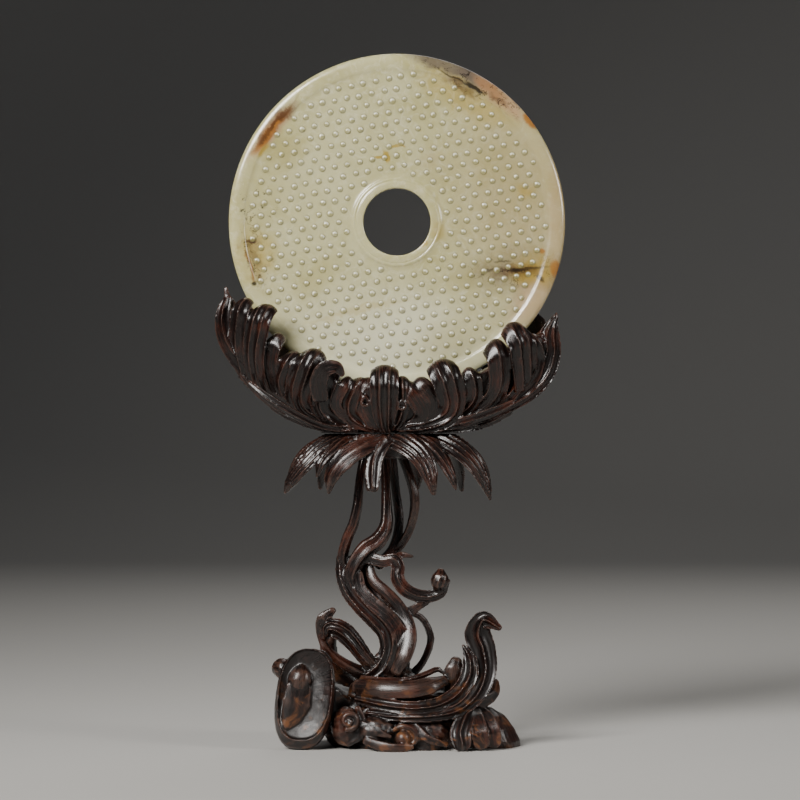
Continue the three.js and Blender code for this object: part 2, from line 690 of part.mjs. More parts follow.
function pedestalSolid() {
  const belowFloor = block([-100, -80, -30], [100, 80, 0]);
  const aboveSeam = block([-100, -80, CANOPY.topZ], [100, 80, CANOPY.topZ + 30]);
  return carvedAsOne([
    canopyHeart(),
    ...CANOPY_LEAVES.map(canopyLeaf),
    ...stems(),
    ...tendril(),
    mound(),
    ...fungus(),
    ...frontScrolls(),
    ...waves(),
    ...rightEnd(),
    ...leftArch(),
    ...backOfBase(),
  ]).subtract(belowFloor).subtract(aboveSeam);
}

// ---------------------------------------------------------------- the whole

const jade = new THREE.MeshStandardMaterial({ color: 0xd5d8c3, roughness: 0.3, metalness: 0 });
const rosewood = new THREE.MeshStandardMaterial({ color: 0x3a2119, roughness: 0.42, metalness: 0 });

const part = new THREE.Group();
part.add(
  toMesh('bi_disc', discSolid(), jade),
  toMesh('leaf_cradle', cradleSolid(), rosewood, [SEAM_Z]),
  toMesh('pedestal', pedestalSolid(), rosewood, [0, CANOPY.topZ]),
);

export default part;
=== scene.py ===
"""A jade bi disc standing upright in its carved hardwood stand.

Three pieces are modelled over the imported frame: the jade disc with its grain bosses, the leaf cradle that
holds it, and the pedestal of stems, waves and rock below. Sizes are in millimetres and become metres in the
meshes. +Z is up, the disc faces -Y, and the origin is on the underside of the base.
"""

from __future__ import annotations

import logging
import math
from contextlib import contextmanager
from dataclasses import dataclass, field
from enum import Enum
from typing import Callable, Iterator, Sequence

import bpy
import numpy as np
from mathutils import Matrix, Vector
from mathutils.kdtree import KDTree

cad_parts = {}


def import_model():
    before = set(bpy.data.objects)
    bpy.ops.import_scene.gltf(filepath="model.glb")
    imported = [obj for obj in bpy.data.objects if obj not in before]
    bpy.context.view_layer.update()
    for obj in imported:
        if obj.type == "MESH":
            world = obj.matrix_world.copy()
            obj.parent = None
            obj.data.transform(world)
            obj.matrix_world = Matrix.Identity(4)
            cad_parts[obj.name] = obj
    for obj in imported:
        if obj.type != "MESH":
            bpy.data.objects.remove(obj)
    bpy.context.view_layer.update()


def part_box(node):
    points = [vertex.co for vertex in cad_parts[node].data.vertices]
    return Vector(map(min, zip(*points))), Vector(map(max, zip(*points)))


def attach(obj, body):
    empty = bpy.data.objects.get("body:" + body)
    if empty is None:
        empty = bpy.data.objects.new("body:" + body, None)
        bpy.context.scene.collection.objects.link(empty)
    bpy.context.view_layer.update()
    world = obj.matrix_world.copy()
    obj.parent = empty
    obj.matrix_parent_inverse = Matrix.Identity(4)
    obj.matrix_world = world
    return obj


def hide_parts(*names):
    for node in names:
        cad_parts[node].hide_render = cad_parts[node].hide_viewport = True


LOG = logging.getLogger("bi_disc")

MM = 0.001  # metres in a millimetre
FULL_TURN = 2 * math.pi
QUARTER_TURN = math.pi / 2
SEED = 2206
GAP = 0.3  # clearance between pieces that rest on each other
SEAM_Z = 152.9  # where the cradle sits on the pedestal
FRONT = np.array([0.0, -1.0, 0.0])
BACK = np.array([0.0, 1.0, 0.0])
UP = np.array([0.0, 0.0, 1.0])

Array = np.ndarray
Place = tuple[float, float, float]
Colour = tuple[float, float, float, float]
Rings = Callable[[Array, Array], Array]  # places on a body's rings, from shares and turns
Piece = bpy.types.Object
Material = bpy.types.Material
Tree = bpy.types.NodeTree
Node = bpy.types.Node
Socket = bpy.types.NodeSocket


class Body(Enum):
    """The bodies that pieces ride on."""

    STAND = "root"


class Slot(Enum):
    """The record's material slots."""

    JADE = "jade"
    ROSEWOOD = "rosewood"


# ---------------------------------------------------------------- working on meshes


def deselect_all() -> None:
    """Clears the selection."""
    for thing in bpy.context.selected_objects:
        thing.select_set(False)


def select_only(piece: Piece) -> None:
    """Makes a piece the only selected and the active one."""
    deselect_all()
    piece.select_set(True)
    bpy.context.view_layer.objects.active = piece


def coordinates(piece: Piece) -> Array:
    """Returns a piece's vertices in its own units, one row each."""
    flat = np.empty(3 * len(piece.data.vertices))
    piece.data.vertices.foreach_get("co", flat)
    return flat.reshape(-1, 3)


def place_vertices(piece: Piece, places: Array) -> None:
    """Moves a piece's vertices.

    Args:
        piece: The mesh object.
        places: The new places in millimetres, one row each.
    """
    piece.data.vertices.foreach_set("co", (places * MM).ravel())
    piece.data.update()


def set_values(piece: Piece, name: str, values: Array) -> None:
    """Writes one number for each vertex as a named attribute."""
    layer = piece.data.attributes.get(name) or piece.data.attributes.new(name, "FLOAT", "POINT")
    layer.data.foreach_set("value", values.astype(np.float32))


def get_values(piece: Piece, name: str) -> Array:
    """Returns a named attribute's number for each vertex."""
    values = np.empty(len(piece.data.vertices), np.float32)
    piece.data.attributes[name].data.foreach_get("value", values)
    return values


def apply_modifier(piece: Piece, kind: str, **settings: object) -> None:
    """Adds a modifier to a piece and applies it.

    Args:
        piece: The mesh object.
        kind: The modifier's type.
        settings: Its settings by name.
    """
    modifier = piece.modifiers.new(kind.title(), kind)
    for name, value in settings.items():
        setattr(modifier, name, value)
    select_only(piece)
    bpy.ops.object.modifier_apply(modifier=modifier.name)


def joined(name: str, bodies: Sequence[Piece]) -> Piece:
    """Joins several mesh objects into one.

    Args:
        name: The name of the piece that they make.
        bodies: The objects; they become part of the first one.

    Returns:
        The joined object.
    """
    select_only(bodies[0])
    for body in bodies:
        body.select_set(True)
    if len(bodies) > 1:
        bpy.ops.object.join()
    piece = bpy.context.view_layer.objects.active
    piece.name = piece.data.name = name
    return piece


@contextmanager
def editing(piece: Piece) -> Iterator[None]:
    """Opens a piece in edit mode for a while."""
    select_only(piece)
    bpy.ops.object.mode_set(mode="EDIT")
    yield
    bpy.ops.object.mode_set(mode="OBJECT")


def cut_level(piece: Piece, height: float, keep_above: bool) -> None:
    """Cuts a closed piece off flat and closes the cut.

    Args:
        piece: The mesh object.
        height: The height of the cut in millimetres.
        keep_above: True to keep what is above the cut.
    """
    with editing(piece):
        bpy.ops.mesh.select_all(action="SELECT")
        bpy.ops.mesh.bisect(
            plane_co=(0, 0, height * MM),
            plane_no=(0, 0, 1),
            use_fill=True,
            clear_inner=keep_above,
            clear_outer=not keep_above,
        )


def edge_ends(piece: Piece) -> Array:
    """Returns the two vertex numbers of each edge, one row each."""
    ends = np.empty(2 * len(piece.data.edges), np.int64)
    piece.data.edges.foreach_get("vertices", ends)
    return ends.reshape(-1, 2)


def blurred(values: Array, ends: Array, passes: int) -> Array:
    """Evens out values over a mesh, each pass halfway to the mean of the neighbours.

    Args:
        values: One row of numbers for each vertex.
        ends: The mesh's edges.
        passes: How often.

    Returns:
        The evened values.
    """
    count = len(values)
    first = np.concatenate([ends[:, 0], ends[:, 1]])
    second = np.concatenate([ends[:, 1], ends[:, 0]])
    valence = np.maximum(np.bincount(first, minlength=count), 1)
    soft = values.astype(float).copy()
    for _ in range(passes):
        for axis in range(soft.shape[1]):
            mean = np.bincount(first, weights=soft[second, axis], minlength=count) / valence
            soft[:, axis] = (soft[:, axis] + mean) / 2
    return soft


def largest_shell_only(piece: Piece) -> None:
    """Deletes every loose shell but the largest, such as the wall of a sealed pocket between bodies."""
    ends = edge_ends(piece)
    label = np.arange(len(piece.data.vertices))
    while True:
        low = np.minimum(label[ends[:, 0]], label[ends[:, 1]])
        before = label.copy()
        np.minimum.at(label, ends[:, 0], low)
        np.minimum.at(label, ends[:, 1], low)
        label = label[label]
        if np.array_equal(label, before):
            break
    names, counts = np.unique(label, return_counts=True)
    if len(names) == 1:
        return
    stray = label != names[np.argmax(counts)]
    with editing(piece):
        bpy.ops.mesh.select_mode(type="VERT")
    piece.data.vertices.foreach_set("select", stray)
    with editing(piece):
        bpy.ops.mesh.delete(type="VERT")


# ---------------------------------------------------------------- lines that a carving follows


def unit(vectors: Array) -> Array:
    """Returns the vectors at length one, one row each."""
    return vectors / np.linalg.norm(vectors, axis=-1, keepdims=True)


def through(keys: Sequence[float], share: Array) -> Array:
    """A value that runs through evenly spaced key values.

    Args:
        keys: The key values.
        share: How far along, from 0 to 1.

    Returns:
        The value at each share.
    """
    return np.interp(share, np.linspace(0, 1, len(keys)), keys)


class Line:
    """A line through space, its share running from 0 to 1, carved on the side that it faces."""

    facing: Array = FRONT

    def points(self, share: Array) -> Array:
        """Returns the place at each share."""
        raise NotImplementedError

    def facings(self, share: Array) -> Array:
        """Returns the way the carved face looks at each share."""
        return np.broadcast_to(self.facing, (len(share), 3))

    def frames(self, share: Array) -> tuple[Array, Array, Array, Array]:
        """Finds the carving's axes along the line.

        Args:
            share: How far along, for each vertex.

        Returns:
            The place, and the unit vectors along, to the side and out, one row each.
        """
        step = 1e-4
        before = np.clip(share - step, 0, 1)
        after = np.clip(share + step, 0, 1)
        along = unit(self.points(after) - self.points(before))
        out = self.facings(share)
        out = unit(out - np.sum(out * along, axis=1, keepdims=True) * along)
        return self.points(share), along, np.cross(along, out), out


class Route(Line):
    """A smooth centripetal curve through a few places."""

    def __init__(self, places: Sequence[Place], facing: Array = FRONT) -> None:
        """Takes the places that the curve passes and the one way that it faces."""
        knots = np.array(places, float)
        self.knots = np.vstack([2 * knots[0] - knots[1], knots, 2 * knots[-1] - knots[-2]])
        self.facing = facing

    def points(self, share: Array) -> Array:
        """Returns the place at each share."""
        stretches = len(self.knots) - 3
        reach = np.clip(share, 0, 1) * stretches
        index = np.minimum(reach.astype(int), stretches - 1)
        w = (reach - index)[:, None]
        p0, p1, p2, p3 = (self.knots[index + k] for k in range(4))
        pairs = ((p0, p1), (p1, p2), (p2, p3))
        d0, d1, d2 = (np.sqrt(np.linalg.norm(q - p, axis=1, keepdims=True)) for p, q in pairs)
        start = ((p1 - p0) / d0 - (p2 - p0) / (d0 + d1) + (p2 - p1) / d1) * d1
        end = ((p2 - p1) / d1 - (p3 - p1) / (d1 + d2) + (p3 - p2) / d2) * d1
        square = -3 * p1 + 3 * p2 - 2 * start - end
        cube = 2 * p1 - 2 * p2 + start + end
        return p1 + start * w + square * w**2 + cube * w**3


class Droop(Line):
    """A cubic Bezier line from four control places."""

    def __init__(self, controls: Sequence[Array], facing: Array) -> None:
        """Takes the control places and the one way that the line faces."""
        self.controls = [np.asarray(c, float) for c in controls]
        self.facing = facing

    def points(self, share: Array) -> Array:
        """Returns the place at each share."""
        t = np.clip(share, 0, 1)[:, None]
        a, b, c, d = self.controls
        return (1 - t) ** 3 * a + 3 * (1 - t) ** 2 * t * b + 3 * (1 - t) * t**2 * c + t**3 * d


@dataclass(frozen=True)
class Cup:
    """The boat-shaped cup of the cradle: its plan grows from the foot to the brim."""

    centre_x: float = -4
    foot: tuple[float, float] = (31, 14)  # half length and half depth at the seam
    brim: tuple[float, float] = (82.5, 26)  # half length and half depth at the top
    top_z: float = 215
    rim_z: tuple[float, float] = (170, 207)  # height of the wall at the middle and at the ends
    wall: float = 4.5
    floor_z: float = 161
    end_limit: float = 0.965  # how near to the ends a frond may ride, as a share of the half length
    fullness: tuple[float, float] = (2.2, 4)  # how soon its length and its depth near the brim's

    def half_sizes(self, z: Array) -> tuple[Array, Array]:
        """Returns the cup's half length and half depth at each height."""
        left = 1 - np.clip((z - SEAM_Z) / (self.top_z - SEAM_Z), 0, 1)
        length, depth = (
            foot + (brim - foot) * (1 - left**power)
            for foot, brim, power in zip(self.foot, self.brim, self.fullness)
        )
        return length, depth

    def on_side(self, x: Array, z: Array, face: int) -> tuple[Array, Array]:
        """Finds places on the cup's outside.

        Args:
            x: Their x.
            z: Their heights.
            face: -1 for the front and 1 for the back.

        Returns:
            The places and their outward normals, one row each.
        """
        a, b = self.half_sizes(z)
        q = np.clip((x - self.centre_x) / a, -self.end_limit, self.end_limit)
        across = np.sqrt(1 - q * q)
        places = np.stack([x, face * b * across, z], axis=1)
        normals = unit(np.stack([q / a, face * across / b, np.zeros_like(q)], axis=1))
        return places, normals


CUP = Cup()


@dataclass(frozen=True)
class Frond:
    """One frond of the cradle. root, knee and head are (x, z) in millimetres."""

    root: tuple[float, float]
    knee: tuple[float, float]
    head: tuple[float, float]
    nose: float  # length of the bulging head
    width: float
    flutes: int = 2
    thick: float = 3.6
    proud: float = 0.0  # how far it stands out from its neighbours
    depth: float = 0.5  # depth of its hollows as a share of its thickness
    lean: float = 0.0  # slope of the head's top, positive where its right side is higher
    dome: float = 0.42  # how far the head's corners drop, as a share of half its width
    tip: float = 0.86  # width at the very top, as a share of the greatest width
    widest: float = 0.8  # where it is widest


class FrondLine(Line):
    """The middle line of a frond: up over the cup's side, then out and back over its bulging head."""

    HEAD_FROM = 0.66
    LEAN_OUT = math.radians(10)
    TURN_BACK = math.radians(88)
    LEAN_SHARE = 0.5  # how much of the head leans out before it turns back
    TURN_FROM = 0.12  # where the head starts to turn back
    TURN_POWER = 1.7  # above one, it turns late

    def __init__(self, frond: Frond, face: int) -> None:
        """Takes the frond and the side of the cup that it lies on."""
        self.frond = frond
        self.face = face
        self.steps = np.linspace(0, 1, 60)
        slopes = self.slope(self.steps)
        step = frond.nose / (len(self.steps) - 1)
        self.up = np.concatenate([[0], np.cumsum(np.cos(slopes[1:]) * step)])
        self.forward = np.concatenate([[0], np.cumsum(np.sin(slopes[1:]) * step)])
        ends, normals = self.bent(np.array([0.99, 1.0]))
        self.end = ends[1]
        self.rise = unit(ends[1] - ends[0])
        self.out = unit(normals[1] - normals[1].dot(self.rise) * self.rise)

    def slope(self, head: Array) -> Array:
        """Returns how far the line leans out, in radians, at each share of the head."""
        lean = self.LEAN_OUT * np.sin(math.pi * np.minimum(head / self.LEAN_SHARE, 1))
        over = np.clip((head - self.TURN_FROM) / (1 - self.TURN_FROM), 0, 1)
        return lean - self.TURN_BACK * over**self.TURN_POWER

    def bent(self, s: Array) -> tuple[Array, Array]:
        """Returns the places and normals below the head, s from 0 to 1."""
        frond = self.frond
        ways = zip(frond.root, frond.knee, frond.head)
        x, z = ((1 - s) ** 2 * root + 2 * s * (1 - s) * knee + s**2 * head for root, knee, head in ways)
        places, normals = CUP.on_side(x, z - self.up.max() * s, self.face)
        return places + normals * frond.proud, normals

    def head_share(self, share: Array) -> Array:
        """Returns how far up the head each share lies, 0 below it."""
        return np.clip((share - self.HEAD_FROM) / (1 - self.HEAD_FROM), 0, 1)

    def points(self, share: Array) -> Array:
        """Returns the place at each share."""
        places, _ = self.bent(np.clip(share / self.HEAD_FROM, 0, 1))
        head = self.head_share(share)
        up = np.interp(head, self.steps, self.up)[:, None]
        forward = np.interp(head, self.steps, self.forward)[:, None]
        over = self.end + up * self.rise + forward * self.out
        return np.where(share[:, None] <= self.HEAD_FROM, places, over)

    def facings(self, share: Array) -> Array:
        """Returns the way the frond's face looks at each share."""
        _, normals = self.bent(np.clip(share / self.HEAD_FROM, 0, 1))
        slope = self.slope(self.head_share(share))[:, None]
        head = np.cos(slope) * self.out - np.sin(slope) * self.rise
        return np.where(share[:, None] <= self.HEAD_FROM, normals, head)


# ---------------------------------------------------------------- carved bodies


class Section:
    """The cut across a carved body: side and out for each turn, in half widths and thicknesses."""

    def outline(self, turn: Array, share: Array) -> tuple[Array, Array]:
        """Returns side from -1 to 1 and out for each vertex."""
        raise NotImplementedError


@dataclass(frozen=True)
class Fluted(Section):
    """A leaf or strap: a crowned face with sharp crests between hollow flutes, and a plain rounded back."""

    flutes: int
    depth: float = 0.5
    crown: float = 0.4
    crest: float = 0.7  # below one, the crests are sharp
    fade_from: float = 1.0  # share of the length from which the hollows run out
    face_share: float = 0.72  # how much of the ring of vertices goes to the face

    def outline(self, turn: Array, share: Array) -> tuple[Array, Array]:
        """Returns side from -1 to 1 and out for each vertex."""
        lap = turn / FULL_TURN
        on_face = lap < self.face_share
        face = 1 - 2 * lap / self.face_share
        hollow = np.abs(np.sin(math.pi * self.flutes * (face + 1) / 2)) ** self.crest
        run_out = 1 - np.clip((share - self.fade_from) / max(0.97 - self.fade_from, 0.01), 0, 1)
        face_out = 1 - self.crown * face**2 - self.depth * hollow * run_out
        behind = np.clip((lap - self.face_share) / (1 - self.face_share), 0, 1) * math.pi
        bulge = np.sin(behind) ** 0.7
        back = -np.cos(behind) * (1 - 0.12 * bulge)
        back_out = (1 - self.crown) - (1.5 - self.crown) * bulge
        return np.where(on_face, face, back), np.where(on_face, face_out, back_out)


@dataclass(frozen=True)
class Ridged(Section):
    """A stem: an oval with sharp ridges along it that wind slowly round."""

    ridges: int
    groove: float = 0.26
    wind: float = 0.8  # radians from end to end
    deep: float = 0.9  # depth as a share of the width

    def outline(self, turn: Array, share: Array) -> tuple[Array, Array]:
        """Returns side from -1 to 1 and out for each vertex."""
        around = self.ridges * (turn + self.wind * share) / 2
        reach = 1.03 - self.groove * np.abs(np.sin(around)) ** 0.8
        return np.cos(turn) * reach, np.sin(turn) * reach * self.deep


@dataclass(frozen=True)
class Fineness:
    """How many vertices a carved body starts with."""

    around: int = 48
    along: int = 64


def ball_layout(fineness: Fineness) -> tuple[Piece, Array, Array]:
    """Adds a ball whose vertices can be laid out as a carved body.

    Args:
        fineness: Its vertices around and from pole to pole.

    Returns:
        The object, each vertex's share of the way from pole to pole, and its turn in radians.
    """
    deselect_all()
    bpy.ops.mesh.primitive_uv_sphere_add(segments=fineness.around, ring_count=fineness.along, radius=1)
    ball = bpy.context.object
    places = coordinates(ball)
    share = np.arccos(np.clip(places[:, 2], -1, 1)) / math.pi
    turn = np.arctan2(places[:, 1], places[:, 0]) % FULL_TURN
    turn[turn > FULL_TURN - 1e-6] = 0
    return ball, share, turn


def mark_flow(body: Piece, along: Array, across: Array) -> None:
    """Keeps how far each vertex lies along and across its body, in millimetres, for the grain to follow."""
    set_values(body, "along", along)
    set_values(body, "across", across)


def carve(
    line: Line,
    width: Callable[[Array], Array],
    thick: Callable[[Array], Array],
    section: Section,
    fineness: Fineness = Fineness(),
    lift: Callable[[Array, Array], Array] | None = None,
) -> Piece:
    """Carves one closed body along a line, rounded at both ends.

    Args:
        line: The line that it follows.
        width: Its width at each share of the line.
        thick: Its thickness at each share of the line.
        section: The cut across it.
        fineness: Its vertices around and along.
        lift: How each vertex is moved in the end, from its share and its side in millimetres.

    Returns:
        The body.
    """
    cap = 0.045
    body, lap, turn = ball_layout(fineness)
    share = np.clip((lap - cap) / (1 - 2 * cap), 0, 1)
    closing = 1 - np.clip(np.minimum(lap, 1 - lap) / cap, 0, 1)
    shrink = np.cos(closing * math.pi / 2)
    at, along, side, out = line.frames(share)
    side_step, out_step = section.outline(turn, share)
    half = width(share) / 2
    deep = thick(share)
    bulge = np.where(lap < 0.5, -1, 1) * np.sin(closing * math.pi / 2) * deep * 0.6
    places = (
        at
        + side * (side_step * half * shrink)[:, None]
        + out * (out_step * deep * shrink)[:, None]
        + along * bulge[:, None]
    )
    if lift is not None:
        places += lift(share, side_step * half)
    place_vertices(body, places)
    stations = np.linspace(0, 1, 200)
    steps = np.linalg.norm(np.diff(line.points(stations), axis=0), axis=1)
    run = np.interp(share, stations, np.concatenate([[0], np.cumsum(steps)]))
    mark_flow(body, run, side_step * half)
    return body


def strap(
    places: Sequence[Place],
    widths: Sequence[float],
    thick: float = 3,
    flutes: int = 2,
    facing: Array = FRONT,
    depth: float = 0.5,
    fineness: Fineness = Fineness(),
) -> Piece:
    """Carves a fluted strap of changing width.

    Args:
        places: The places that it passes.
        widths: Its width at even steps.
        thick: Its greatest thickness.
        flutes: The hollows along its face.
        facing: The way that its face looks.
        depth: How deep the hollows are, as a share of the thickness.
        fineness: Its vertices around and along.

    Returns:
        The body.
    """
    width = lambda share: through(widths, share)
    thickness = lambda share: np.minimum(thick, 0.6 * width(share))
    return carve(Route(places, facing), width, thickness, Fluted(flutes, depth), fineness)


def stem(
    places: Sequence[Place],
    widths: Sequence[float],
    ridges: int = 5,
    deep: float = 0.9,
    groove: float = 0.26,
    fineness: Fineness = Fineness(56, 80),
) -> Piece:
    """Carves a ridged stem of changing width.

    Args:
        places: The places that it passes.
        widths: Its width at even steps.
        ridges: The sharp ridges along it.
        deep: Its depth as a share of its width.
        groove: How deep the grooves between the ridges are, as a share of its half width.
        fineness: Its vertices around and along.

    Returns:
        The body.
    """
    width = lambda share: through(widths, share)
    section = Ridged(ridges, groove, deep=deep)
    return carve(Route(places), width, lambda share: width(share) / 2, section, fineness)


def ball(middle: Place, half: Place | float, fineness: Fineness = Fineness(28, 18)) -> Piece:
    """Makes a ball or an egg, such as a bud or the eye of a scroll.

    Args:
        middle: Where it lies.
        half: Its radius, or its half size each way.
        fineness: Its vertices around and along.

    Returns:
        The body.
    """
    body, _, _ = ball_layout(fineness)
    places = coordinates(body) * half + np.array(middle)
    place_vertices(body, places)
    mark_flow(body, places[:, 0], places[:, 2])
    return body


def lump(middle: Place, half: Place) -> Piece:
    """Makes one lump of rough rock at a place, of a half size each way."""
    body = ball(middle, half, Fineness(40, 30))
    roughen(body, 3, 1.4)
    return body


def loft(ring: Rings, fineness: Fineness = Fineness(72, 64), cap: float = 0.12) -> Piece:
    """Makes a closed body from rings that a function gives.

    Args:
        ring: Gives the places for shares and turns; the body closes onto each end ring's middle.
        fineness: Its vertices around and along.
        cap: The share of the vertices that closes each end.

    Returns:
        The body.
    """
    body, lap, turn = ball_layout(fineness)
    share = np.clip((lap - cap) / (1 - 2 * cap), 0, 1)
    shrink = np.clip(np.minimum(lap, 1 - lap) / cap, 0, 1)[:, None]
    places = ring(share, turn)
    middle = (ring(share, np.zeros_like(turn)) + ring(share, np.full_like(turn, math.pi))) / 2
    places = middle + (places - middle) * shrink
    place_vertices(body, places)
    mark_flow(body, places[:, 2], turn * np.linalg.norm(places - middle, axis=1))
    return body


def pile(
    half_x: Sequence[float],
    half_y: Sequence[float],
    heights: Sequence[float],
    middle: Place,
    lean: tuple[float, float],
    ripple: Rings,
    fineness: Fineness,
) -> Piece:
    """Makes a closed body from level ovals that lie one on another.

    Args:
        half_x: Their half lengths at even steps.
        half_y: Their half depths.
        heights: Their heights above the middle place.
        middle: Where the body stands.
        lean: How far it leans to -X and -Y for each millimetre of height.
        ripple: The factor on both halves at each height and turn.
        fineness: Its vertices around and along.

    Returns:
        The body.
    """

    def ring(share: Array, turn: Array) -> Array:
        """Returns the places on the ovals."""
        height = through(heights, share)
        wave = ripple(height, turn)
        x = middle[0] - height * lean[0] + through(half_x, share) * wave * np.cos(turn)
        y = middle[1] - height * lean[1] + through(half_y, share) * wave * np.sin(turn)
        return np.stack([x, y, middle[2] + height], axis=1)

    return loft(ring, fineness)


def roughen(body: Piece, size: float, height: float) -> None:
    """Breaks up a body's surface with soft lumps.

    Args:
        body: The mesh object.
        size: The lumps' size in millimetres.
        height: The greatest change in millimetres.
    """
    lumps = bpy.data.textures.new("lumps", "CLOUDS")
    lumps.noise_scale = size * MM
    settings = {"strength": height * MM, "mid_level": 0.5, "texture_coords": "LOCAL"}
    apply_modifier(body, "DISPLACE", texture=lumps, **settings)
    bpy.data.textures.remove(lumps)


@dataclass(frozen=True)
class Knife:
    """How finely a carved piece is worked once its bodies are one."""

    voxel: float = 0.45
    smooth: int = 2
    triangles: int = 190_000
    edge_passes: int = 3
    edge_height: float = 0.16
    hollow_passes: int = 60
    hollow_depth: float = 1.7

    def work(self, name: str, bodies: Sequence[Piece], flats: Sequence[tuple[float, bool]]) -> Piece:
        """Makes carved bodies into one fine closed piece.

        Args:
            name: The piece's name.
            bodies: The carved bodies, each closed, overlapping where they join.
            flats: Heights where the piece is cut off flat, each with True to keep what is above it.

        Returns:
            The piece, with its edges and hollows marked for the finish.
        """
        piece = joined(name, bodies)
        source = coordinates(piece)
        flow = {key: get_values(piece, key) for key in ("along", "across")}
        apply_modifier(piece, "REMESH", mode="VOXEL", voxel_size=self.voxel * MM, adaptivity=0.0)
        apply_modifier(piece, "SMOOTH", factor=0.5, iterations=self.smooth)
        for height, keep_above in flats:
            cut_level(piece, height, keep_above)
        largest_shell_only(piece)
        piece.data.calc_loop_triangles()
        share = self.triangles / len(piece.data.loop_triangles)
        if share < 1:
            apply_modifier(piece, "DECIMATE", ratio=share)
        self.mark_relief(piece)
        self.mark_flow_from(piece, source, flow)
        piece.data.polygons.foreach_set("use_smooth", np.ones(len(piece.data.polygons), bool))
        return piece

    def mark_relief(self, piece: Piece) -> None:
        """Marks each vertex with how sharp an edge and how deep a hollow it lies on."""
        places = coordinates(piece) / MM
        ends = edge_ends(piece)
        normals = np.empty(places.size, np.float32)
        piece.data.vertices.foreach_get("normal", normals)
        normals = normals.reshape(-1, 3)
        near = np.sum((places - blurred(places, ends, self.edge_passes)) * normals, axis=1)
        far = np.sum((places - blurred(places, ends, self.hollow_passes)) * normals, axis=1)
        set_values(piece, "edge", np.clip(0.5 + near / self.edge_height / 2, 0, 1))
        set_values(piece, "hollow", np.clip(0.5 - far / self.hollow_depth / 2, 0, 1))

    def mark_flow_from(self, piece: Piece, source: Array, flow: dict[str, Array]) -> None:
        """Carries how the grain flows over from the bodies that the piece was made of."""
        tree = KDTree(len(source))
        for index, place in enumerate(source):
            tree.insert(place, index)
        tree.balance()
        nearest = np.array([tree.find(place)[1] for place in coordinates(piece)])
        for name, values in flow.items():
            set_values(piece, name, values[nearest])


# ---------------------------------------------------------------- shader boards


class Board:
    """A node tree being wired."""

    def __init__(self, tree: Tree) -> None:
        """Takes the tree to work on."""
        self.tree = tree

    def add(self, kind: str, inputs: dict[object, object] | None = None, **settings: object) -> Node:
        """Adds a node.

        Args:
            kind: The node's type.
            inputs: Values or sockets for its inputs, by name or number.
            settings: Its other settings by name.

        Returns:
            The node.
        """
        node = self.tree.nodes.new(kind)
        for name, value in settings.items():
            setattr(node, name, value)
        for key, value in (inputs or {}).items():
            if isinstance(value, Socket):
                self.tree.links.new(value, node.inputs[key])
            else:
                node.inputs[key].default_value = value
        return node

    def group(self, tree: Tree, inputs: dict[object, object]) -> Socket:
        """Adds a shared node group with its inputs set and returns its mask."""
        return self.add("ShaderNodeGroup", inputs, node_tree=tree).outputs["Mask"]

    def math(self, operation: str, first: object, second: object = 0.0) -> Socket:
        """Adds a Math node and returns its result."""
        return self.add("ShaderNodeMath", {0: first, 1: second}, operation=operation).outputs[0]

    def times(self, first: object, second: object) -> Socket:
        """Multiplies two values and returns the result."""
        return self.math("MULTIPLY", first, second)

    def vectors(self, operation: str, first: object, second: object) -> Socket:
        """Adds a Vector Math node and returns its result."""
        return self.add("ShaderNodeVectorMath", {0: first, 1: second}, operation=operation).outputs[0]

    def remap(
        self, value: object, low: object, high: object, to_low: float = 0, to_high: float = 1
    ) -> Socket:
        """Maps a value smoothly from one range to another, clamped, and returns it."""
        ends = {"From Min": low, "From Max": high, "To Min": to_low, "To Max": to_high}
        node = self.add("ShaderNodeMapRange", {"Value": value, **ends}, interpolation_type="SMOOTHSTEP")
        return node.outputs["Result"]

    def noise(
        self, vector: object, scale: object, detail: float = 3, rough: float = 0.5, warp: float = 0
    ) -> Socket:
        """Adds a noise pattern and returns its value."""
        shape = {"Detail": detail, "Roughness": rough, "Distortion": warp}
        return self.add("ShaderNodeTexNoise", {"Vector": vector, "Scale": scale, **shape}).outputs["Fac"]

    def mix(self, mask: object, under: object, over: object) -> Socket:
        """Lays one colour over another through a mask and returns the result."""
        return self.add("ShaderNodeMix", {0: mask, 6: under, 7: over}, data_type="RGBA").outputs[2]

    def value(self, name: str) -> Socket:
        """Reads a named number from the mesh."""
        return self.add("ShaderNodeAttribute", attribute_name=name).outputs["Fac"]

    def object_place(self) -> Socket:
        """Reads the place on the piece in metres."""
        return self.add("ShaderNodeTexCoord").outputs["Object"]

    def surface(self, height: Socket, bump: tuple[float, float], inputs: dict[object, object]) -> None:
        """Adds the surface's shader and joins it to the material's output.

        Args:
            height: The fine relief.
            bump: How strong the relief is, and its height in metres.
            inputs: Values or sockets for the shader's other inputs.
        """
        strength, distance = bump
        relief = {"Height": height, "Strength": strength, "Distance": distance}
        normal = self.add("ShaderNodeBump", relief).outputs["Normal"]
        shader = self.add("ShaderNodeBsdfPrincipled", {**inputs, "Normal": normal})
        self.add("ShaderNodeOutputMaterial", {"Surface": shader.outputs["BSDF"]})


NUMBER = "NodeSocketFloat"
VECTOR = "NodeSocketVector"


def new_group(name: str, takes: dict[str, str]) -> tuple[Board, bpy.types.bpy_prop_collection]:
    """Starts a shared node group that gives one mask.

    Args:
        name: The group's name.
        takes: Its inputs, each with the kind of its socket.

    Returns:
        A board on the group, and its inputs as sockets by name.
    """
    tree = bpy.data.node_groups.new(name, "ShaderNodeTree")
    for label, kind in takes.items():
        tree.interface.new_socket(label, in_out="INPUT", socket_type=kind)
    tree.interface.new_socket("Mask", in_out="OUTPUT", socket_type=NUMBER)
    return Board(tree), tree.nodes.new("NodeGroupInput").outputs


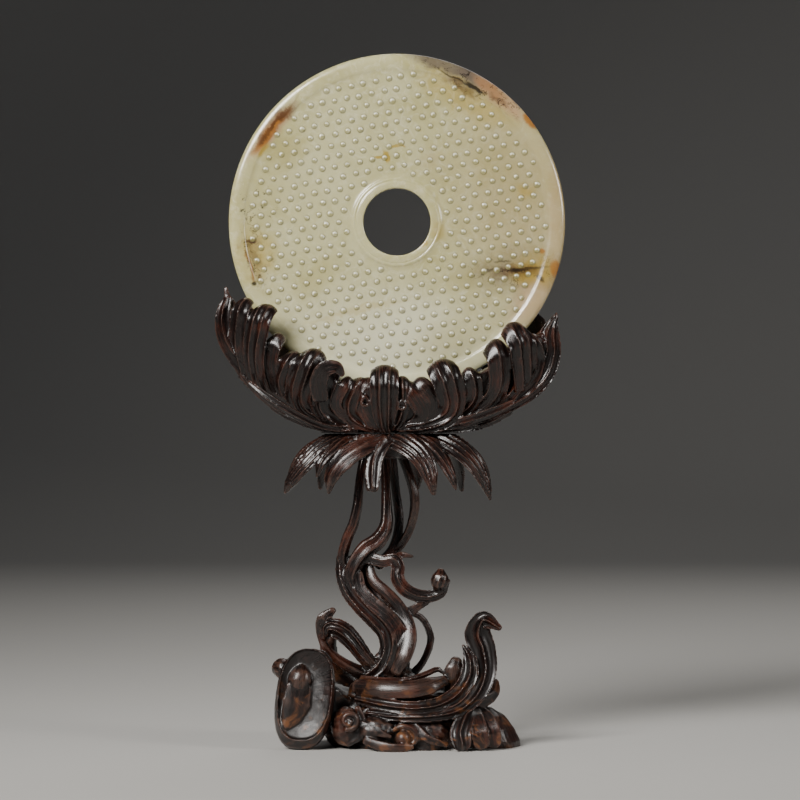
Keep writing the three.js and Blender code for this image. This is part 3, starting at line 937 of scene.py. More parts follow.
def stain_group() -> Tree:
    """Makes the shared group for one stain: an oval patch on the disc's face with a ragged, clouded edge.

    Returns:
        The group, whose mask is 1 in the middle of the stain.
    """
    numbers = {name: NUMBER for name in ("Turn", "Ragged", "Soft")}
    board, take = new_group("Stain", {"Place": VECTOR, "Centre": VECTOR, "Size": VECTOR, **numbers})
    clouds = {"Vector": take["Place"], "Scale": 95, "Detail": 5, "Roughness": 0.62}
    warp = board.add("ShaderNodeTexNoise", clouds).outputs["Color"]
    centred = board.vectors("SUBTRACT", warp, (0.5, 0.5, 0.5))
    stray = board.add("ShaderNodeVectorMath", {0: centred, "Scale": take["Ragged"]}, operation="SCALE")
    turned = board.add(
        "ShaderNodeVectorRotate",
        {
            "Vector": board.vectors("ADD", take["Place"], stray.outputs[0]),
            "Center": take["Centre"],
            "Angle": take["Turn"],
        },
        rotation_type="Y_AXIS",
    )
    offset = board.vectors("SUBTRACT", turned.outputs[0], take["Centre"])
    shares = board.vectors("DIVIDE", offset, take["Size"])
    reach = board.add("ShaderNodeVectorMath", {0: shares}, operation="LENGTH").outputs["Value"]
    inner = board.math("SUBTRACT", 1.0, take["Soft"])
    outer = board.math("ADD", 1.0, take["Soft"])
    board.add("NodeGroupOutput", {"Mask": board.remap(reach, inner, outer, 1, 0)})
    return board.tree


def vein_group() -> Tree:
    """Makes the shared group for thin broken veins.

    Returns:
        The group, whose mask is 1 on the veins.
    """
    numbers = {name: NUMBER for name in ("Scale", "Width", "Broken")}
    board, take = new_group("Veins", {"Place": VECTOR, **numbers})
    flow = board.noise(take["Place"], take["Scale"], detail=4, rough=0.55, warp=0.6)
    ridge = board.math("ABSOLUTE", board.math("SUBTRACT", flow, 0.5))
    line = board.remap(ridge, 0.0, take["Width"], 1, 0)
    patches = board.noise(take["Place"], 210, detail=2)
    fade_to = board.math("ADD", take["Broken"], 0.08)
    ends = {"From Min": take["Broken"], "From Max": fade_to}
    keep = board.add("ShaderNodeMapRange", {"Value": patches, **ends})
    board.add("NodeGroupOutput", {"Mask": board.times(line, keep.outputs["Result"])})
    return board.tree


def new_material(name: str) -> tuple[Material, Board]:
    """Makes a material with no nodes yet, and a board on it."""
    material = bpy.data.materials.new(name)
    material.use_nodes = True
    material.node_tree.nodes.clear()
    return material, Board(material.node_tree)


# ---------------------------------------------------------------- finishes


def srgb(red: int, green: int, blue: int) -> Colour:
    """Returns a colour given by its screen values, 0 to 255, as the shader's linear colour."""
    linear = [((c / 255 + 0.055) / 1.055) ** 2.4 if c > 10 else c / 255 / 12.92 for c in (red, green, blue)]
    return (*linear, 1.0)


class Tint(Enum):
    """The colours that run through the jade, and the painted highlight on its bosses."""

    CELADON = srgb(180, 173, 122)
    MILK = srgb(196, 191, 146)
    CREAM = srgb(222, 219, 188)
    # painted highlight, laid on the upper crescent of each boss
    PALE = srgb(246, 240, 208)
    MOSS = srgb(172, 162, 98)
    OLIVE = srgb(160, 149, 88)
    SAND = srgb(168, 149, 108)
    BLUSH = srgb(178, 146, 112)
    ASH = srgb(98, 86, 76)
    BROWN = srgb(82, 52, 32)
    RUST = srgb(132, 80, 34)
    AMBER = srgb(158, 102, 36)
    OCHRE = srgb(170, 142, 50)
    INK = srgb(30, 22, 18)


@dataclass(frozen=True)
class Stain:
    """One stain of the jade, placed from the middle of the disc in millimetres."""

    x: float
    z: float
    half_length: float  # before it is turned
    half_height: float
    turn: float  # degrees, positive where its right end rises
    tint: Tint
    strength: float
    ragged: float = 7  # how far its edge strays, in millimetres
    soft: float = 0.35

    def mask(self, board: Board, group: Tree, place: Socket, centre: Vector) -> Socket:
        """Adds the stain's place and shape to a material.

        Args:
            board: The material's board.
            group: The shared group for one stain.
            place: The place on the piece.
            centre: The middle of the disc, in metres.

        Returns:
            The mask, 1 in the middle of the stain.
        """
        inputs = {
            "Place": place,
            "Centre": (centre.x + self.x * MM, centre.y, centre.z + self.z * MM),
            "Turn": math.radians(self.turn),
            "Size": (self.half_length * MM, 1.0, self.half_height * MM),
            "Ragged": self.ragged * MM * 2,
            "Soft": self.soft,
        }
        return board.group(group, inputs)


STAIN_ROWS = (
    # broad changes of tone: paler at the bottom and the left, sandier at the right, olive patches
    (-4, -62, 50, 26, 0, Tint.CREAM, 0.85, 7, 0.8),
    (-36, 8, 34, 50, 0, Tint.MILK, 0.6, 7, 0.8),
    (62, 8, 30, 52, 8, Tint.SAND, 0.6, 7, 0.8),
    (34, 36, 34, 22, -30, Tint.OLIVE, 0.2, 7, 0.8),
    (26, -22, 24, 14, -20, Tint.OLIVE, 0.22, 7, 0.8),
    (28, -58, 18, 11, 25, Tint.OLIVE, 0.4, 7, 0.8),
    (-66, 10, 9, 30, -8, Tint.OLIVE, 0.28, 7, 0.7),
    # the brown skin at the upper right edge
    (34, 62, 24, 9, -30, Tint.OCHRE, 0.45, 9, 0.6),
    (25, 76.6, 20, 4.4, -20, Tint.ASH, 0.85, 5, 0.4),
    (38, 71, 10, 4.4, -30, Tint.ASH, 0.8, 5, 0.4),
    (51, 61.5, 15, 5, -40, Tint.BLUSH, 0.85, 4, 0.35),
    (46, 65, 9, 2.4, -38, Tint.RUST, 0.5, 6, 0.5),
    (30, 66.6, 8, 2.2, -26, Tint.BROWN, 0.7, 8, 0.6),
    (38, 65.6, 6, 1.2, -30, Tint.INK, 0.92, 3, 0.4),
    (28, 70.2, 9, 0.5, -26, Tint.INK, 0.7, 2.5, 0.5),
    (50, 58.6, 6, 1.6, -36, Tint.BROWN, 0.5, 6),
    (65.4, 49.6, 4.4, 1.9, -54, Tint.AMBER, 0.9, 2.5),
    # the right edge and its cloud
    (79, -4, 4.4, 46, 0, Tint.BLUSH, 0.3, 3, 0.5),
    (66, -38, 8, 14, -28, Tint.BLUSH, 0.6, 4, 0.6),
    (58, -24, 20, 9, 4, Tint.ASH, 0.42, 9, 0.7),
    (67, -24, 10, 7, 8, Tint.OCHRE, 0.75, 7, 0.6),
    (58, -23.4, 13, 3, 4, Tint.BROWN, 0.75, 9, 0.7),
    (64, -22.6, 10, 0.7, 5, Tint.INK, 0.6, 2.5, 0.6),
    (59.6, -23.6, 3, 1.2, 10, Tint.INK, 0.85, 5, 0.5),
    (51.6, -19, 4, 0.6, 4, Tint.INK, 0.6, 5, 0.6),
    (43.6, -25.4, 3.4, 0.6, 34, Tint.INK, 0.6, 6, 0.6),
    (70, -27.2, 1.2, 2.2, 10, Tint.INK, 0.85, 5, 0.5),
    (71.4, -14.8, 1.2, 1.4, 0, Tint.AMBER, 0.8, 3, 0.5),
    (78, -23, 2.4, 4, 6, Tint.AMBER, 0.75, 3),
    # the orange strip at the upper left edge
    (-57, 38, 9, 11, 40, Tint.OLIVE, 0.6, 9, 0.7),
    (-61.6, 44.8, 16, 3.6, 51, Tint.BLUSH, 0.85, 3, 0.4),
    (-62, 44.2, 13, 1.9, 51, Tint.AMBER, 0.9, 3, 0.4),
    (-60.2, 47.6, 14, 0.9, 51, Tint.BROWN, 0.7, 4, 0.6),
    (-56.4, 53, 7, 2.4, 46, Tint.BROWN, 0.6, 8, 0.6),
    (-67.2, 40.6, 3.4, 1.2, 54, Tint.BROWN, 0.6, 5, 0.6),
    (-65.6, 35.6, 4, 1.6, 54, Tint.OCHRE, 0.8, 4, 0.5),
    # the brown patch and black specks at the left
    (-69, -17, 8, 13, 12, Tint.OCHRE, 0.55, 9, 0.7),
    (-70.6, -18, 4, 8, 14, Tint.BROWN, 0.5, 13, 0.6),
    (-72.8, -22, 0.9, 7, 18, Tint.RUST, 0.7, 4, 0.5),
    (-72.1, -9.7, 1.8, 1.3, 0, Tint.BROWN, 0.85, 5, 0.5),
    (-70, -29.8, 1.5, 1.7, 0, Tint.INK, 0.85, 5, 0.5),
    (-66.7, -27.3, 1.7, 1.3, 0, Tint.BROWN, 0.7, 6, 0.5),
    # yellow spots round the hole
    (-8.6, 31.2, 2.6, 0.8, -6, Tint.OCHRE, 0.85, 3),
    (-4.8, 31.6, 1.4, 3, 16, Tint.OCHRE, 0.85, 4),
    (0, 36.4, 2.6, 1, 12, Tint.OCHRE, 0.75, 5),
    (16, 31, 5, 5, 0, Tint.SAND, 0.35, 7, 0.7),
    (12.4, -9.4, 1.4, 3.4, 22, Tint.OCHRE, 0.6, 5),
    (21, -5, 3, 4, 0, Tint.OCHRE, 0.35, 6, 0.7),
    (63, 15, 4, 3.4, 0, Tint.OCHRE, 0.5, 6, 0.7),
    (-20, -44, 22, 1.6, 14, Tint.OCHRE, 0.3, 9, 0.8),
    (-40, -28, 14, 5, 30, Tint.OLIVE, 0.4, 9, 0.8),
)
STAINS = tuple(Stain(*row) for row in STAIN_ROWS)

VEINED = (  # where dark veins run, each with their width in the noise that draws them
    (Stain(-67.5, 5, 7, 13, 0, Tint.INK, 0.9, 4, 0.4), 0.036),
    (Stain(-75.6, 1, 1.3, 18, 4, Tint.INK, 0.9, 4, 0.4), 0.05),
    (Stain(56, -24, 20, 9, 4, Tint.INK, 0.9, 4, 0.4), 0.026),
    (Stain(38, 68, 32, 6, -30, Tint.INK, 0.9, 4, 0.4), 0.03),
    (Stain(-68, -20, 7, 11, 10, Tint.INK, 0.9, 4, 0.4), 0.04),
)


@dataclass(frozen=True)
class JadeFinish:
    """Polished pale celadon jade with milky clouds, brown skin and dark veins, and a painted highlight on
    each boss's upper side.
    """

    roughness: tuple[float, float] = (0.14, 0.26)
    subsurface: float = 0.5
    subsurface_radius: Place = (0.006, 0.0055, 0.004)
    coat: float = 0.4
    boss_base: float = 0.2  # what the mesh's boss value is where a boss is not a bright crescent

    def material(self, stain: Tree, veins: Tree, centre: Vector) -> Material:
        """Builds the material.

        Args:
            stain: The shared group for one stain.
            veins: The shared group for thin veins.
            centre: The middle of the disc, in metres.

        Returns:
            The material.
        """
        material, board = new_material("Celadon_jade")
        place = board.object_place()
        cloud = board.remap(board.noise(place, 42, detail=5, rough=0.6, warp=0.8), 0.34, 0.66)
        colour = board.mix(cloud, Tint.CELADON.value, Tint.MILK.value)
        tinge = board.remap(board.noise(place, 23, detail=4, rough=0.6, warp=1.5), 0.5, 0.72, 0, 0.35)
        colour = board.mix(tinge, colour, Tint.OLIVE.value)
        mottle = board.remap(board.noise(place, 190, detail=5, rough=0.65, warp=1.2), 0.46, 0.7, 0, 0.5)
        colour = board.mix(mottle, colour, Tint.CREAM.value)
        for spot in STAINS:
            mask = spot.mask(board, stain, place, centre)
            colour = board.mix(board.times(mask, spot.strength), colour, spot.tint.value)
        for index, (zone, width) in enumerate(VEINED):
            lines = {"Place": place, "Scale": 190 + 20 * index, "Width": width, "Broken": 0.5}
            mask = board.times(zone.mask(board, stain, place, centre), board.group(veins, lines))
            colour = board.mix(board.times(mask, zone.strength), colour, zone.tint.value)
        boss = board.value("boss")
        colour = board.mix(board.remap(boss, 0.0, self.boss_base, 0, 0.6), colour, Tint.MOSS.value)
        # painted highlight: each boss's upper crescent is laid in pale colour, as if lit by the lamp above
        highlight_crescent = board.remap(boss, self.boss_base + 0.05, 1.0, 0, 0.85)
        colour = board.mix(highlight_crescent, colour, Tint.PALE.value)
        rough = board.remap(board.noise(place, 260, detail=3), 0.3, 0.7, *self.roughness)
        inputs = {
            "Base Color": colour,
            "Roughness": rough,
            "IOR": 1.6,
            "Subsurface Weight": self.subsurface,
            "Subsurface Radius": self.subsurface_radius,
            "Subsurface Scale": 1.0,
            "Coat Weight": self.coat,
            "Coat Roughness": 0.12,
        }
        board.surface(board.noise(place, 900, detail=4, rough=0.6), (0.12, 0.0002), inputs)
        return material


@dataclass(frozen=True)
class RosewoodFinish:
    """Old polished rosewood: near black in the hollows, where shade is painted, red brown where worn, and
    paler on the crests from rubbing and a painted sheen.
    """

    dark: Colour = srgb(12, 8, 7)
    body: Colour = srgb(28, 15, 12)
    worn: Colour = srgb(72, 33, 19)
    tan: Colour = srgb(118, 74, 42)
    # paler grey-brown on sharp crests: rubbed wear and a painted sheen
    crest: Colour = srgb(92, 68, 58)
    # painted shade for the deep hollows
    hollow_shade: Colour = srgb(14, 9, 8)
    roughness: tuple[float, float] = (0.2, 0.32)
    bared_heights: tuple[float, float] = (0.05, 0.012)  # metres over which the wood turns tan

    def material(self) -> Material:
        """Builds the material."""
        material, board = new_material("Old_rosewood")
        place = board.object_place()
        flow = board.add("ShaderNodeCombineXYZ", {0: board.value("across"), 1: board.value("along")})
        streaks = board.vectors("MULTIPLY", flow.outputs[0], (1.0, 0.07, 1.0))
        grain = board.noise(streaks, 1.1, detail=5, rough=0.65)
        edge = board.value("edge")
        hollow = board.value("hollow")
        patch = board.noise(place, 60, detail=4, rough=0.6, warp=0.6)
        colour = board.mix(board.remap(grain, 0.35, 0.7), self.dark, self.body)
        drawn = board.math("ADD", board.times(patch, 0.65), board.times(grain, 0.35))
        worn_patch = board.times(board.remap(drawn, 0.47, 0.67), board.remap(hollow, 0.75, 0.35))
        colour = board.mix(board.times(worn_patch, 0.8), colour, self.worn)
        # sharp crests turn paler grey-brown, partly rubbed wear and partly a painted sheen where gloss
        # catches the light
        rubbed_and_sheen = board.times(board.remap(edge, 0.56, 0.9), board.remap(grain, 0.25, 0.6, 0.4, 1))
        colour = board.mix(board.times(rubbed_and_sheen, 0.5), colour, self.crest)
        height = board.add("ShaderNodeSeparateXYZ", {0: place}).outputs["Z"]
        low = board.remap(height, *self.bared_heights)
        flecks = board.noise(place, 95, detail=5, rough=0.6, warp=1.0)
        bared = board.times(board.remap(flecks, 0.52, 0.66), low)
        colour = board.mix(board.times(bared, 0.72), colour, self.tan)
        # painted shade: the deep hollows darken towards near black
        deep = board.remap(hollow, 0.58, 0.95)
        colour = board.mix(board.times(deep, 0.85), colour, self.hollow_shade)
        rough = board.remap(grain, 0.3, 0.7, *self.roughness)
        rough = board.math("ADD", rough, board.times(deep, 0.25))
        rough = board.math("ADD", rough, board.times(low, 0.08))
        fine = board.noise(streaks, 3.4, detail=4, rough=0.6)
        pores = board.noise(place, 1500, detail=2)
        relief = board.math("ADD", board.times(fine, 0.8), board.times(pores, 0.35))
        inputs = {
            "Base Color": colour,
            "Roughness": rough,
            "IOR": 1.5,
            "Coat Weight": 0.1,
            "Coat Roughness": 0.15,
        }
        board.surface(relief, (0.26, 0.0004), inputs)
        return material


# ---------------------------------------------------------------- the jade disc


@dataclass
class JadeDisc:
    """The disc: a turned ring with plain bands at its edge and hole, and grain bosses on both faces."""

    radius: float = 82.5
    thickness: float = 5.8
    hole: float = 16.5
    rim: float = 7.6
    ring: float = 5.0
    sunk: float = 0.8
    slope: float = 0.9  # width of the slope from the ring down to the field
    lip: float = 0.6  # rounding at the hole
    ease: float = 3.6  # how far the edge is rounded across the rim
    ease_depth: float = 2.0
    centre_z: float = 256.5
    boss_pitch: float = 6.18
    boss_radius: float = 1.6
    boss_height: float = 0.85
    row_turn: float = 11  # degrees that the rows rise to the right
    random: np.random.Generator = field(default_factory=lambda: np.random.default_rng(SEED))

    def profile(self) -> Array:
        """Returns the closed half profile in radius and depth, from the hole out over one face and back."""
        half = self.thickness / 2
        floor = half - self.sunk
        round_over = [
            (self.radius - self.ease * (1 - math.sin(a)), half - self.ease_depth * (1 - math.cos(a)))
            for a in np.linspace(0, QUARTER_TURN, 8)
        ]
        inner_round = [
            (self.hole + self.lip * (1 - math.cos(a)), half - self.lip * (1 - math.sin(a)))
            for a in np.linspace(0, QUARTER_TURN, 4)
        ]
        ring = self.hole + self.ring
        band = self.radius - self.rim
        face = [
            *inner_round,
            (ring - 1.6, half - 0.02),
            (ring - 1.2, half - 0.25),
            (ring - 0.8, half - 0.05),
            (ring, half - 0.12),
            (ring + self.slope / 2, floor + 0.25),
            (ring + self.slope, floor),
            *[(r, floor) for r in np.linspace(ring + 3, band - 3, 8)],
            (band - 0.5, floor),
            (band - 0.1, floor + 0.25),
            (band + 0.2, half - 0.36),
            (band + 1.2, half - 0.16),
            (band + 2.4, half - 0.04),
            (band + 3.2, half),
            *round_over,
        ]
        return np.array(face + [(r, -y) for r, y in reversed(face)])

    def turned_ring(self) -> Piece:
        """Makes the ring without its bosses from a torus laid out along the profile."""
        profile = self.profile()
        deselect_all()
        bpy.ops.mesh.primitive_torus_add(
            major_segments=256, minor_segments=len(profile), major_radius=1, minor_radius=0.25
        )
        ring = bpy.context.object
        places = coordinates(ring)
        turn = np.arctan2(places[:, 1], places[:, 0])
        tube = np.arctan2(places[:, 2], np.hypot(places[:, 0], places[:, 1]) - 1) % FULL_TURN
        station = np.round(tube / FULL_TURN * len(profile)).astype(int) % len(profile)
        radius, depth = profile[station].T
        laid = np.stack([radius * np.cos(turn), depth, radius * np.sin(turn) + self.centre_z], axis=1)
        place_vertices(ring, laid)
        return ring

    def boss_centres(self) -> Array:
        """Returns the middles of the bosses in the disc's plane, as rows from its centre."""
        row_gap = self.boss_pitch * math.sqrt(3) / 2
        reach = math.ceil(self.radius / row_gap)
        steps = range(-reach, reach + 1)
        grid = np.array([(i + 0.5 * (j % 2), j) for j in steps for i in steps]) * [self.boss_pitch, row_gap]
        turn = math.radians(self.row_turn)
        turned = grid @ np.array([[math.cos(turn), math.sin(turn)], [-math.sin(turn), math.cos(turn)]])
        turned += self.random.normal(0, 0.22, turned.shape)
        out = np.hypot(*turned.T)
        inner = self.hole + self.ring + self.boss_radius + 0.4
        outer = self.radius - self.rim - self.boss_radius - 0.3
        return turned[(out > inner) & (out < outer)]

    def bosses(self, face: int) -> Piece:
        """Makes all the bosses of one face as low domes, each with a small curl cut into it and a crescent on
        its top marked for a painted highlight.

        Args:
            face: -1 for the front and 1 for the back.

        Returns:
            The bosses as one mesh.
        """
        deselect_all()
        levels = np.radians([0, 24, 47, 68, 90, 120, 180])  # how far each ring of the dome lies from its top
        bpy.ops.mesh.primitive_uv_sphere_add(segments=12, ring_count=len(levels) - 1, radius=1)
        dome = bpy.context.object
        sphere = coordinates(dome)
        polar = through(levels, np.arccos(np.clip(sphere[:, 2], -1, 1)) / math.pi)
        turn = np.arctan2(sphere[:, 1], sphere[:, 0])
        u, v, w = np.sin(polar) * np.cos(turn), np.sin(polar) * np.sin(turn), np.cos(polar)
        reach = np.hypot(u, v)
        spread = np.where(w > 0, reach, 1 - 0.15 * (1 - reach))
        flare = np.where(reach > 0, spread / np.maximum(reach, 1e-6), 1)
        pit = np.exp(-((u - 0.06) ** 2 + (v + 0.36) ** 2) / 0.11)
        up = np.where(w > 0, np.abs(np.clip(w, -0.35, 1)) ** 1.5, np.clip(w, -0.35, 1)) - 0.5 * pit * (w > 0)
        # the boss value: 0.2 over the dome, rising on the crescent at its top where the material paints a
        # highlight
        highlight_crescent = np.exp(-(((reach - 0.42) / 0.3) ** 2)) * np.clip((v + 0.25) / 0.4, 0, 1)
        set_values(dome, "boss", 0.2 + 0.8 * np.clip(w * 2.2 - 0.4, 0, 1) * highlight_crescent)
        domes = []
        for x, z in self.boss_centres():
            size = self.boss_radius * self.random.uniform(0.88, 1.1)
            height = self.boss_height * self.random.uniform(0.85, 1.12)
            lean = self.random.normal(0, 0.35)
            cos, sin = math.cos(lean), math.sin(lean)
            boss = dome.copy()
            boss.data = dome.data.copy()
            bpy.context.collection.objects.link(boss)
            laid_x = x * -face + size * (u * cos - v * sin) * flare
            laid_y = face * (self.thickness / 2 - self.sunk + height * up)
            laid_z = self.centre_z + z + size * (u * sin + v * cos) * flare
            place_vertices(boss, np.stack([laid_x, laid_y, laid_z], axis=1))
            domes.append(boss)
        bpy.data.objects.remove(dome)
        return joined("bosses", domes)

    def build(self, finish: Material) -> Piece:
        """Makes the finished disc in its material."""
        ring = self.turned_ring()
        set_values(ring, "boss", np.zeros(len(ring.data.vertices)))
        disc = joined("jade_disc", [ring, self.bosses(-1), self.bosses(1)])
        with editing(disc):
            bpy.ops.mesh.select_all(action="SELECT")
            bpy.ops.mesh.normals_make_consistent(inside=False)
        bpy.ops.object.shade_smooth_by_angle(angle=math.radians(40))
        dress(disc, finish, "bi_disc")
        return disc


def dress(piece: Piece, finish: Material, node: str) -> None:
    """Gives a piece its material and its place in the frame.

    Args:
        piece: The finished mesh object.
        finish: Its material.
        node: The CAD node that the piece replaces.
    """
    piece.data.materials.clear()
    piece.data.materials.append(finish)
    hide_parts(node)
    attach(piece, Body.STAND.value)
    LOG.info("%s: %d faces, replaces %s", piece.name, len(piece.data.polygons), node)


# ---------------------------------------------------------------- the leaf cradle


@dataclass
class LeafCradle:
    """The boat of rolled fronds that the disc stands in."""

    knife: Knife = field(default_factory=Knife)
    disc: JadeDisc = field(default_factory=JadeDisc)
    back_fronds: int = 9
    front: tuple[Frond, ...] = (
        Frond((-36, 157), (-81, 177), (-75.5, 217), 12, 10.5, 2, proud=1.6, tip=0.7),
        Frond((-32, 156), (-74, 174), (-66.8, 214), 16, 13.5, 3, proud=2.6, lean=0.1),
        Frond((-28, 158), (-67, 176), (-60.5, 200), 10, 9, 1, dome=0.7),
        Frond((-27, 157), (-62, 172), (-54.5, 192), 11, 10.5, 2, proud=0.6, lean=0.3, dome=0.7),
        Frond((-23, 155.5), (-52, 167), (-45.4, 192.4), 17, 15.5, 3, 4, proud=2.0, lean=0.2, dome=0.6),
        Frond((-20, 155), (-41, 165), (-35, 185.6), 13, 12, 2, proud=1.2),
        Frond((-16, 156), (-33, 166), (-27.5, 179.5), 9, 6.5, 1, proud=0.8, dome=0.8),
        Frond((-11, 155), (-27, 163), (-21.5, 178.8), 10, 9, 2, proud=0.4, lean=0.35),
        Frond((-7, 155), (-17, 164), (-14.5, 178), 8, 10.5, 1, proud=-0.6, depth=0.25),
        Frond(
            (-5, 155), (-6, 165), (-6, 182.8), 18, 14.5, 3, 4.2, proud=2.0, dome=0.34, tip=0.95, widest=0.92
        ),
        Frond((-1, 156), (3, 165), (2.8, 178.4), 10, 8.5, 2, proud=0.4, dome=0.6),
        Frond((2, 155.5), (16, 163), (9.6, 177), 11, 9, 1, proud=0.8, lean=0.3, dome=0.8),
        Frond((3, 156), (24, 166), (15, 179.3), 8, 9, 1, proud=-0.4, depth=0.25),
        Frond((6, 155.5), (29, 165), (25.4, 186.2), 18, 16, 3, 4, proud=1.8, dome=0.4, tip=0.92, widest=0.9),
        Frond((15, 157), (39.5, 167), (37, 183), 9, 9.5, 2, proud=-0.2, dome=0.7),
        Frond((14, 156), (51, 167), (48.6, 195.6), 14, 12.5, 2, proud=1.6, lean=0.4, dome=0.6, depth=0.35),
        Frond((19, 155.5), (62, 168), (59.6, 204.4), 19, 16, 3, 4, proud=3.0, dome=0.7, widest=0.88),
        Frond((26, 156), (72, 174), (68.5, 200), 10, 9.5, 2, proud=1.0, dome=0.7),
    )

    def rear(self) -> list[Frond]:
        """Returns the back fronds, broader and evenly spread."""
        fronds = []
        for share in np.linspace(-1, 1, self.back_fronds):
            x = CUP.centre_x
            root = (x + 24 * share, 156)
            knee = (x + 80 * share, 166 + 20 * abs(share))
            head = (x + 70 * share, 184 + 29 * abs(share) ** 1.8)
            fronds.append(Frond(root, knee, head, 15, 20, 4, proud=0.6, dome=0.55))
        return fronds

    def frond(self, frond: Frond, face: int) -> Piece:
        """Carves one frond: narrow at its root, widest near its bulging head."""
        line = FrondLine(frond, face)
        root_share = 0.42

        def width(share: Array) -> Array:
            """Returns its width at each share."""
            grown = root_share + (1 - root_share) * np.sin(np.minimum(1, share / frond.widest) * QUARTER_TURN)
            drawn_in = np.clip((share - frond.widest) / (1 - frond.widest), 0, 1) ** 1.6
            return frond.width * (grown - (1 - frond.tip) * drawn_in)

        def thick(share: Array) -> Array:
            """Returns its thickness at each share."""
            return frond.thick * (1 - 0.45 * np.clip((share - 0.75) / 0.25, 0, 1) ** 1.5)

        def lift(share: Array, side: Array) -> Array:
            """Slopes and rounds the top of its head."""
            near_top = np.clip((share - 0.6) / 0.35, 0, 1) ** 1.6
            drop = frond.dome * frond.width / 2 * np.abs(2 * side / frond.width) ** 2.4
            return (near_top * (frond.lean * side * -face - drop))[:, None] * line.rise

        section = Fluted(frond.flutes, frond.depth, fade_from=0.88)
        return carve(line, width, thick, section, Fineness(72, 100), lift)

    def curls(self) -> list[Piece]:
        """Carves the pointed end fronds, a hook, a twisted tip and two teardrop eyelets."""
        left_end = [
            (-30, -12, 157.5), (-48, -11, 165.6), (-66, -9, 179), (-77, -8, 190), (-82.4, -8, 199),
            (-84.3, -8, 207), (-83.6, -8, 214.4), (-82.4, -7.6, 219),
        ]
        right_end = [
            (28, -12, 157.5), (48, -9, 165), (63, -6, 173), (71.6, -5, 182), (74.6, -5, 192), (74.6, -6, 202),
            (78, -7, 211.6),
        ]
        hook = [
            (-37, -24, 170), (-37.8, -27, 178), (-34.4, -29.5, 184.2), (-29, -30, 184.8),
            (-26.2, -29.4, 181.6),
        ]
        twist = [(-83, -7, 210), (-80.8, -7.5, 216), (-82.6, -8, 219.5), (-83.6, -8, 224)]
        fine = Fineness(56, 110)
        bodies = [
            strap(left_end, [7, 9, 10, 10.4, 10, 9, 7, 4], 4.4, 2, np.array([-0.3, -1, 0]), 0.45, fine),
            strap(right_end, [7, 9, 10.4, 11, 11.4, 10.4, 1.4], 4.4, 3, np.array([0.1, -1, 0]), 0.4, fine),
            strap(hook, [8, 9, 8.4, 6.4, 3], 3.4, 1),
            strap(twist, [5, 4.5, 3.2, 1.8], thick=2.6, flutes=1),
        ]
        for x, z, tall in ((-15.4, 168.8, 4.6), (2.4, 167, 4.4)):
            (place,), (normal,) = CUP.on_side(np.array([x]), np.array([z]), -1)
            y = place[1] + normal[1] * 3.6
            loop = [
                (x + 1.5 * math.sin(t) * (0.6 - 0.4 * math.cos(t)) * 1.6, y, z + tall / 2 * math.cos(t))
                for t in np.linspace(0, FULL_TURN, 10)
            ]
            bodies.append(stem(loop, [1.5, 1.5], ridges=2, groove=0, fineness=Fineness(16, 60)))
        return bodies

    def cup_shell(self) -> Piece:
        """Makes the cup's wall and floor behind the fronds: a boat with its ends higher than its middle."""
        climb = 3  # parts of the way that go up the outside, and again down the inside

        def ring(share: Array, turn: Array) -> Array:
            """Returns the places up the outside, over the brim and down the inside."""
            lap = share * (2 * climb + 1)
            inside = np.clip(lap - climb, 0, 1)
            up = np.where(lap < climb, lap / climb, np.clip((2 * climb + 1 - lap) / climb, 0, 1))
            lowest = SEAM_Z + (CUP.floor_z - SEAM_Z) * inside
            low, high = CUP.rim_z
            brim = low + (high - low) * np.abs(np.cos(turn)) ** 2.5
            z = lowest + (brim - lowest) * up
            a, b = CUP.half_sizes(z)
            inset = CUP.wall * inside
            x, y = CUP.centre_x + (a - inset) * np.cos(turn), (b - inset) * np.sin(turn)
            return np.stack([x, y, z - 2.0 * (1 - inside) * (up < 0.02)], axis=1)

        return loft(ring, Fineness(96, 80), cap=0.2)

    def ledge(self) -> Piece:
        """Makes the curved rib inside the cup whose groove holds the disc's edge."""
        inner, outer, half_turn = 80.0, 93.0, 34.0
        groove = self.disc.thickness / 2 + GAP
        bottom = self.disc.radius + GAP
        right = [(8, outer), (7, (inner + outer) / 2), (5.5, inner), (groove, inner), (groove, bottom)]
        left = [(-y, reach) for y, reach in right]
        closed = np.array([left[0], *right, *reversed(left)])
        run = np.concatenate([[0], np.cumsum(np.linalg.norm(np.diff(closed, axis=0), axis=1))])

        def ring(share: Array, turn: Array) -> Array:
            """Returns the places on the rib's section, swung about the disc's middle."""
            lap = turn / FULL_TURN * run[-1]
            y = np.interp(lap, run, closed[:, 0])
            reach = np.interp(lap, run, closed[:, 1])
            angle = np.radians(half_turn) * (2 * share - 1)
            return np.stack([reach * np.sin(angle), y, self.disc.centre_z - reach * np.cos(angle)], axis=1)

        return loft(ring, Fineness(160, 60), cap=0.05)

    def sepals(self) -> list[Piece]:
        """Carves the long narrow leaves that clasp the cup from below, one on each side."""
        facing = np.array([0, -0.8, -0.6])
        left = [
            (-20, -14, 154.5), (-36, -19, 156.4), (-50, -21, 163), (-61.5, -20, 170), (-71.4, -17.5, 177.6),
        ]
        right = [(14, -13, 155), (32, -16, 159), (46, -16, 163.5), (56, -14, 168)]
        return [
            strap(left, [5, 5, 5.4, 5.4, 3.2], thick=2.6, flutes=2, facing=facing),
            strap(right, [5, 6, 6, 3.5], thick=2.4, flutes=2, facing=facing),
        ]

    def build(self, finish: Material) -> Piece:
        """Carves the finished cradle in its material."""
        bodies = [self.cup_shell(), self.ledge(), *self.sepals(), *self.curls()]
        bodies += [self.frond(frond, -1) for frond in self.front]
        bodies += [self.frond(frond, 1) for frond in self.rear()]
        cradle = self.knife.work("carved_leaf_cradle", bodies, [(SEAM_Z, True)])
        dress(cradle, finish, "leaf_cradle")
        return cradle


# ---------------------------------------------------------------- the pedestal


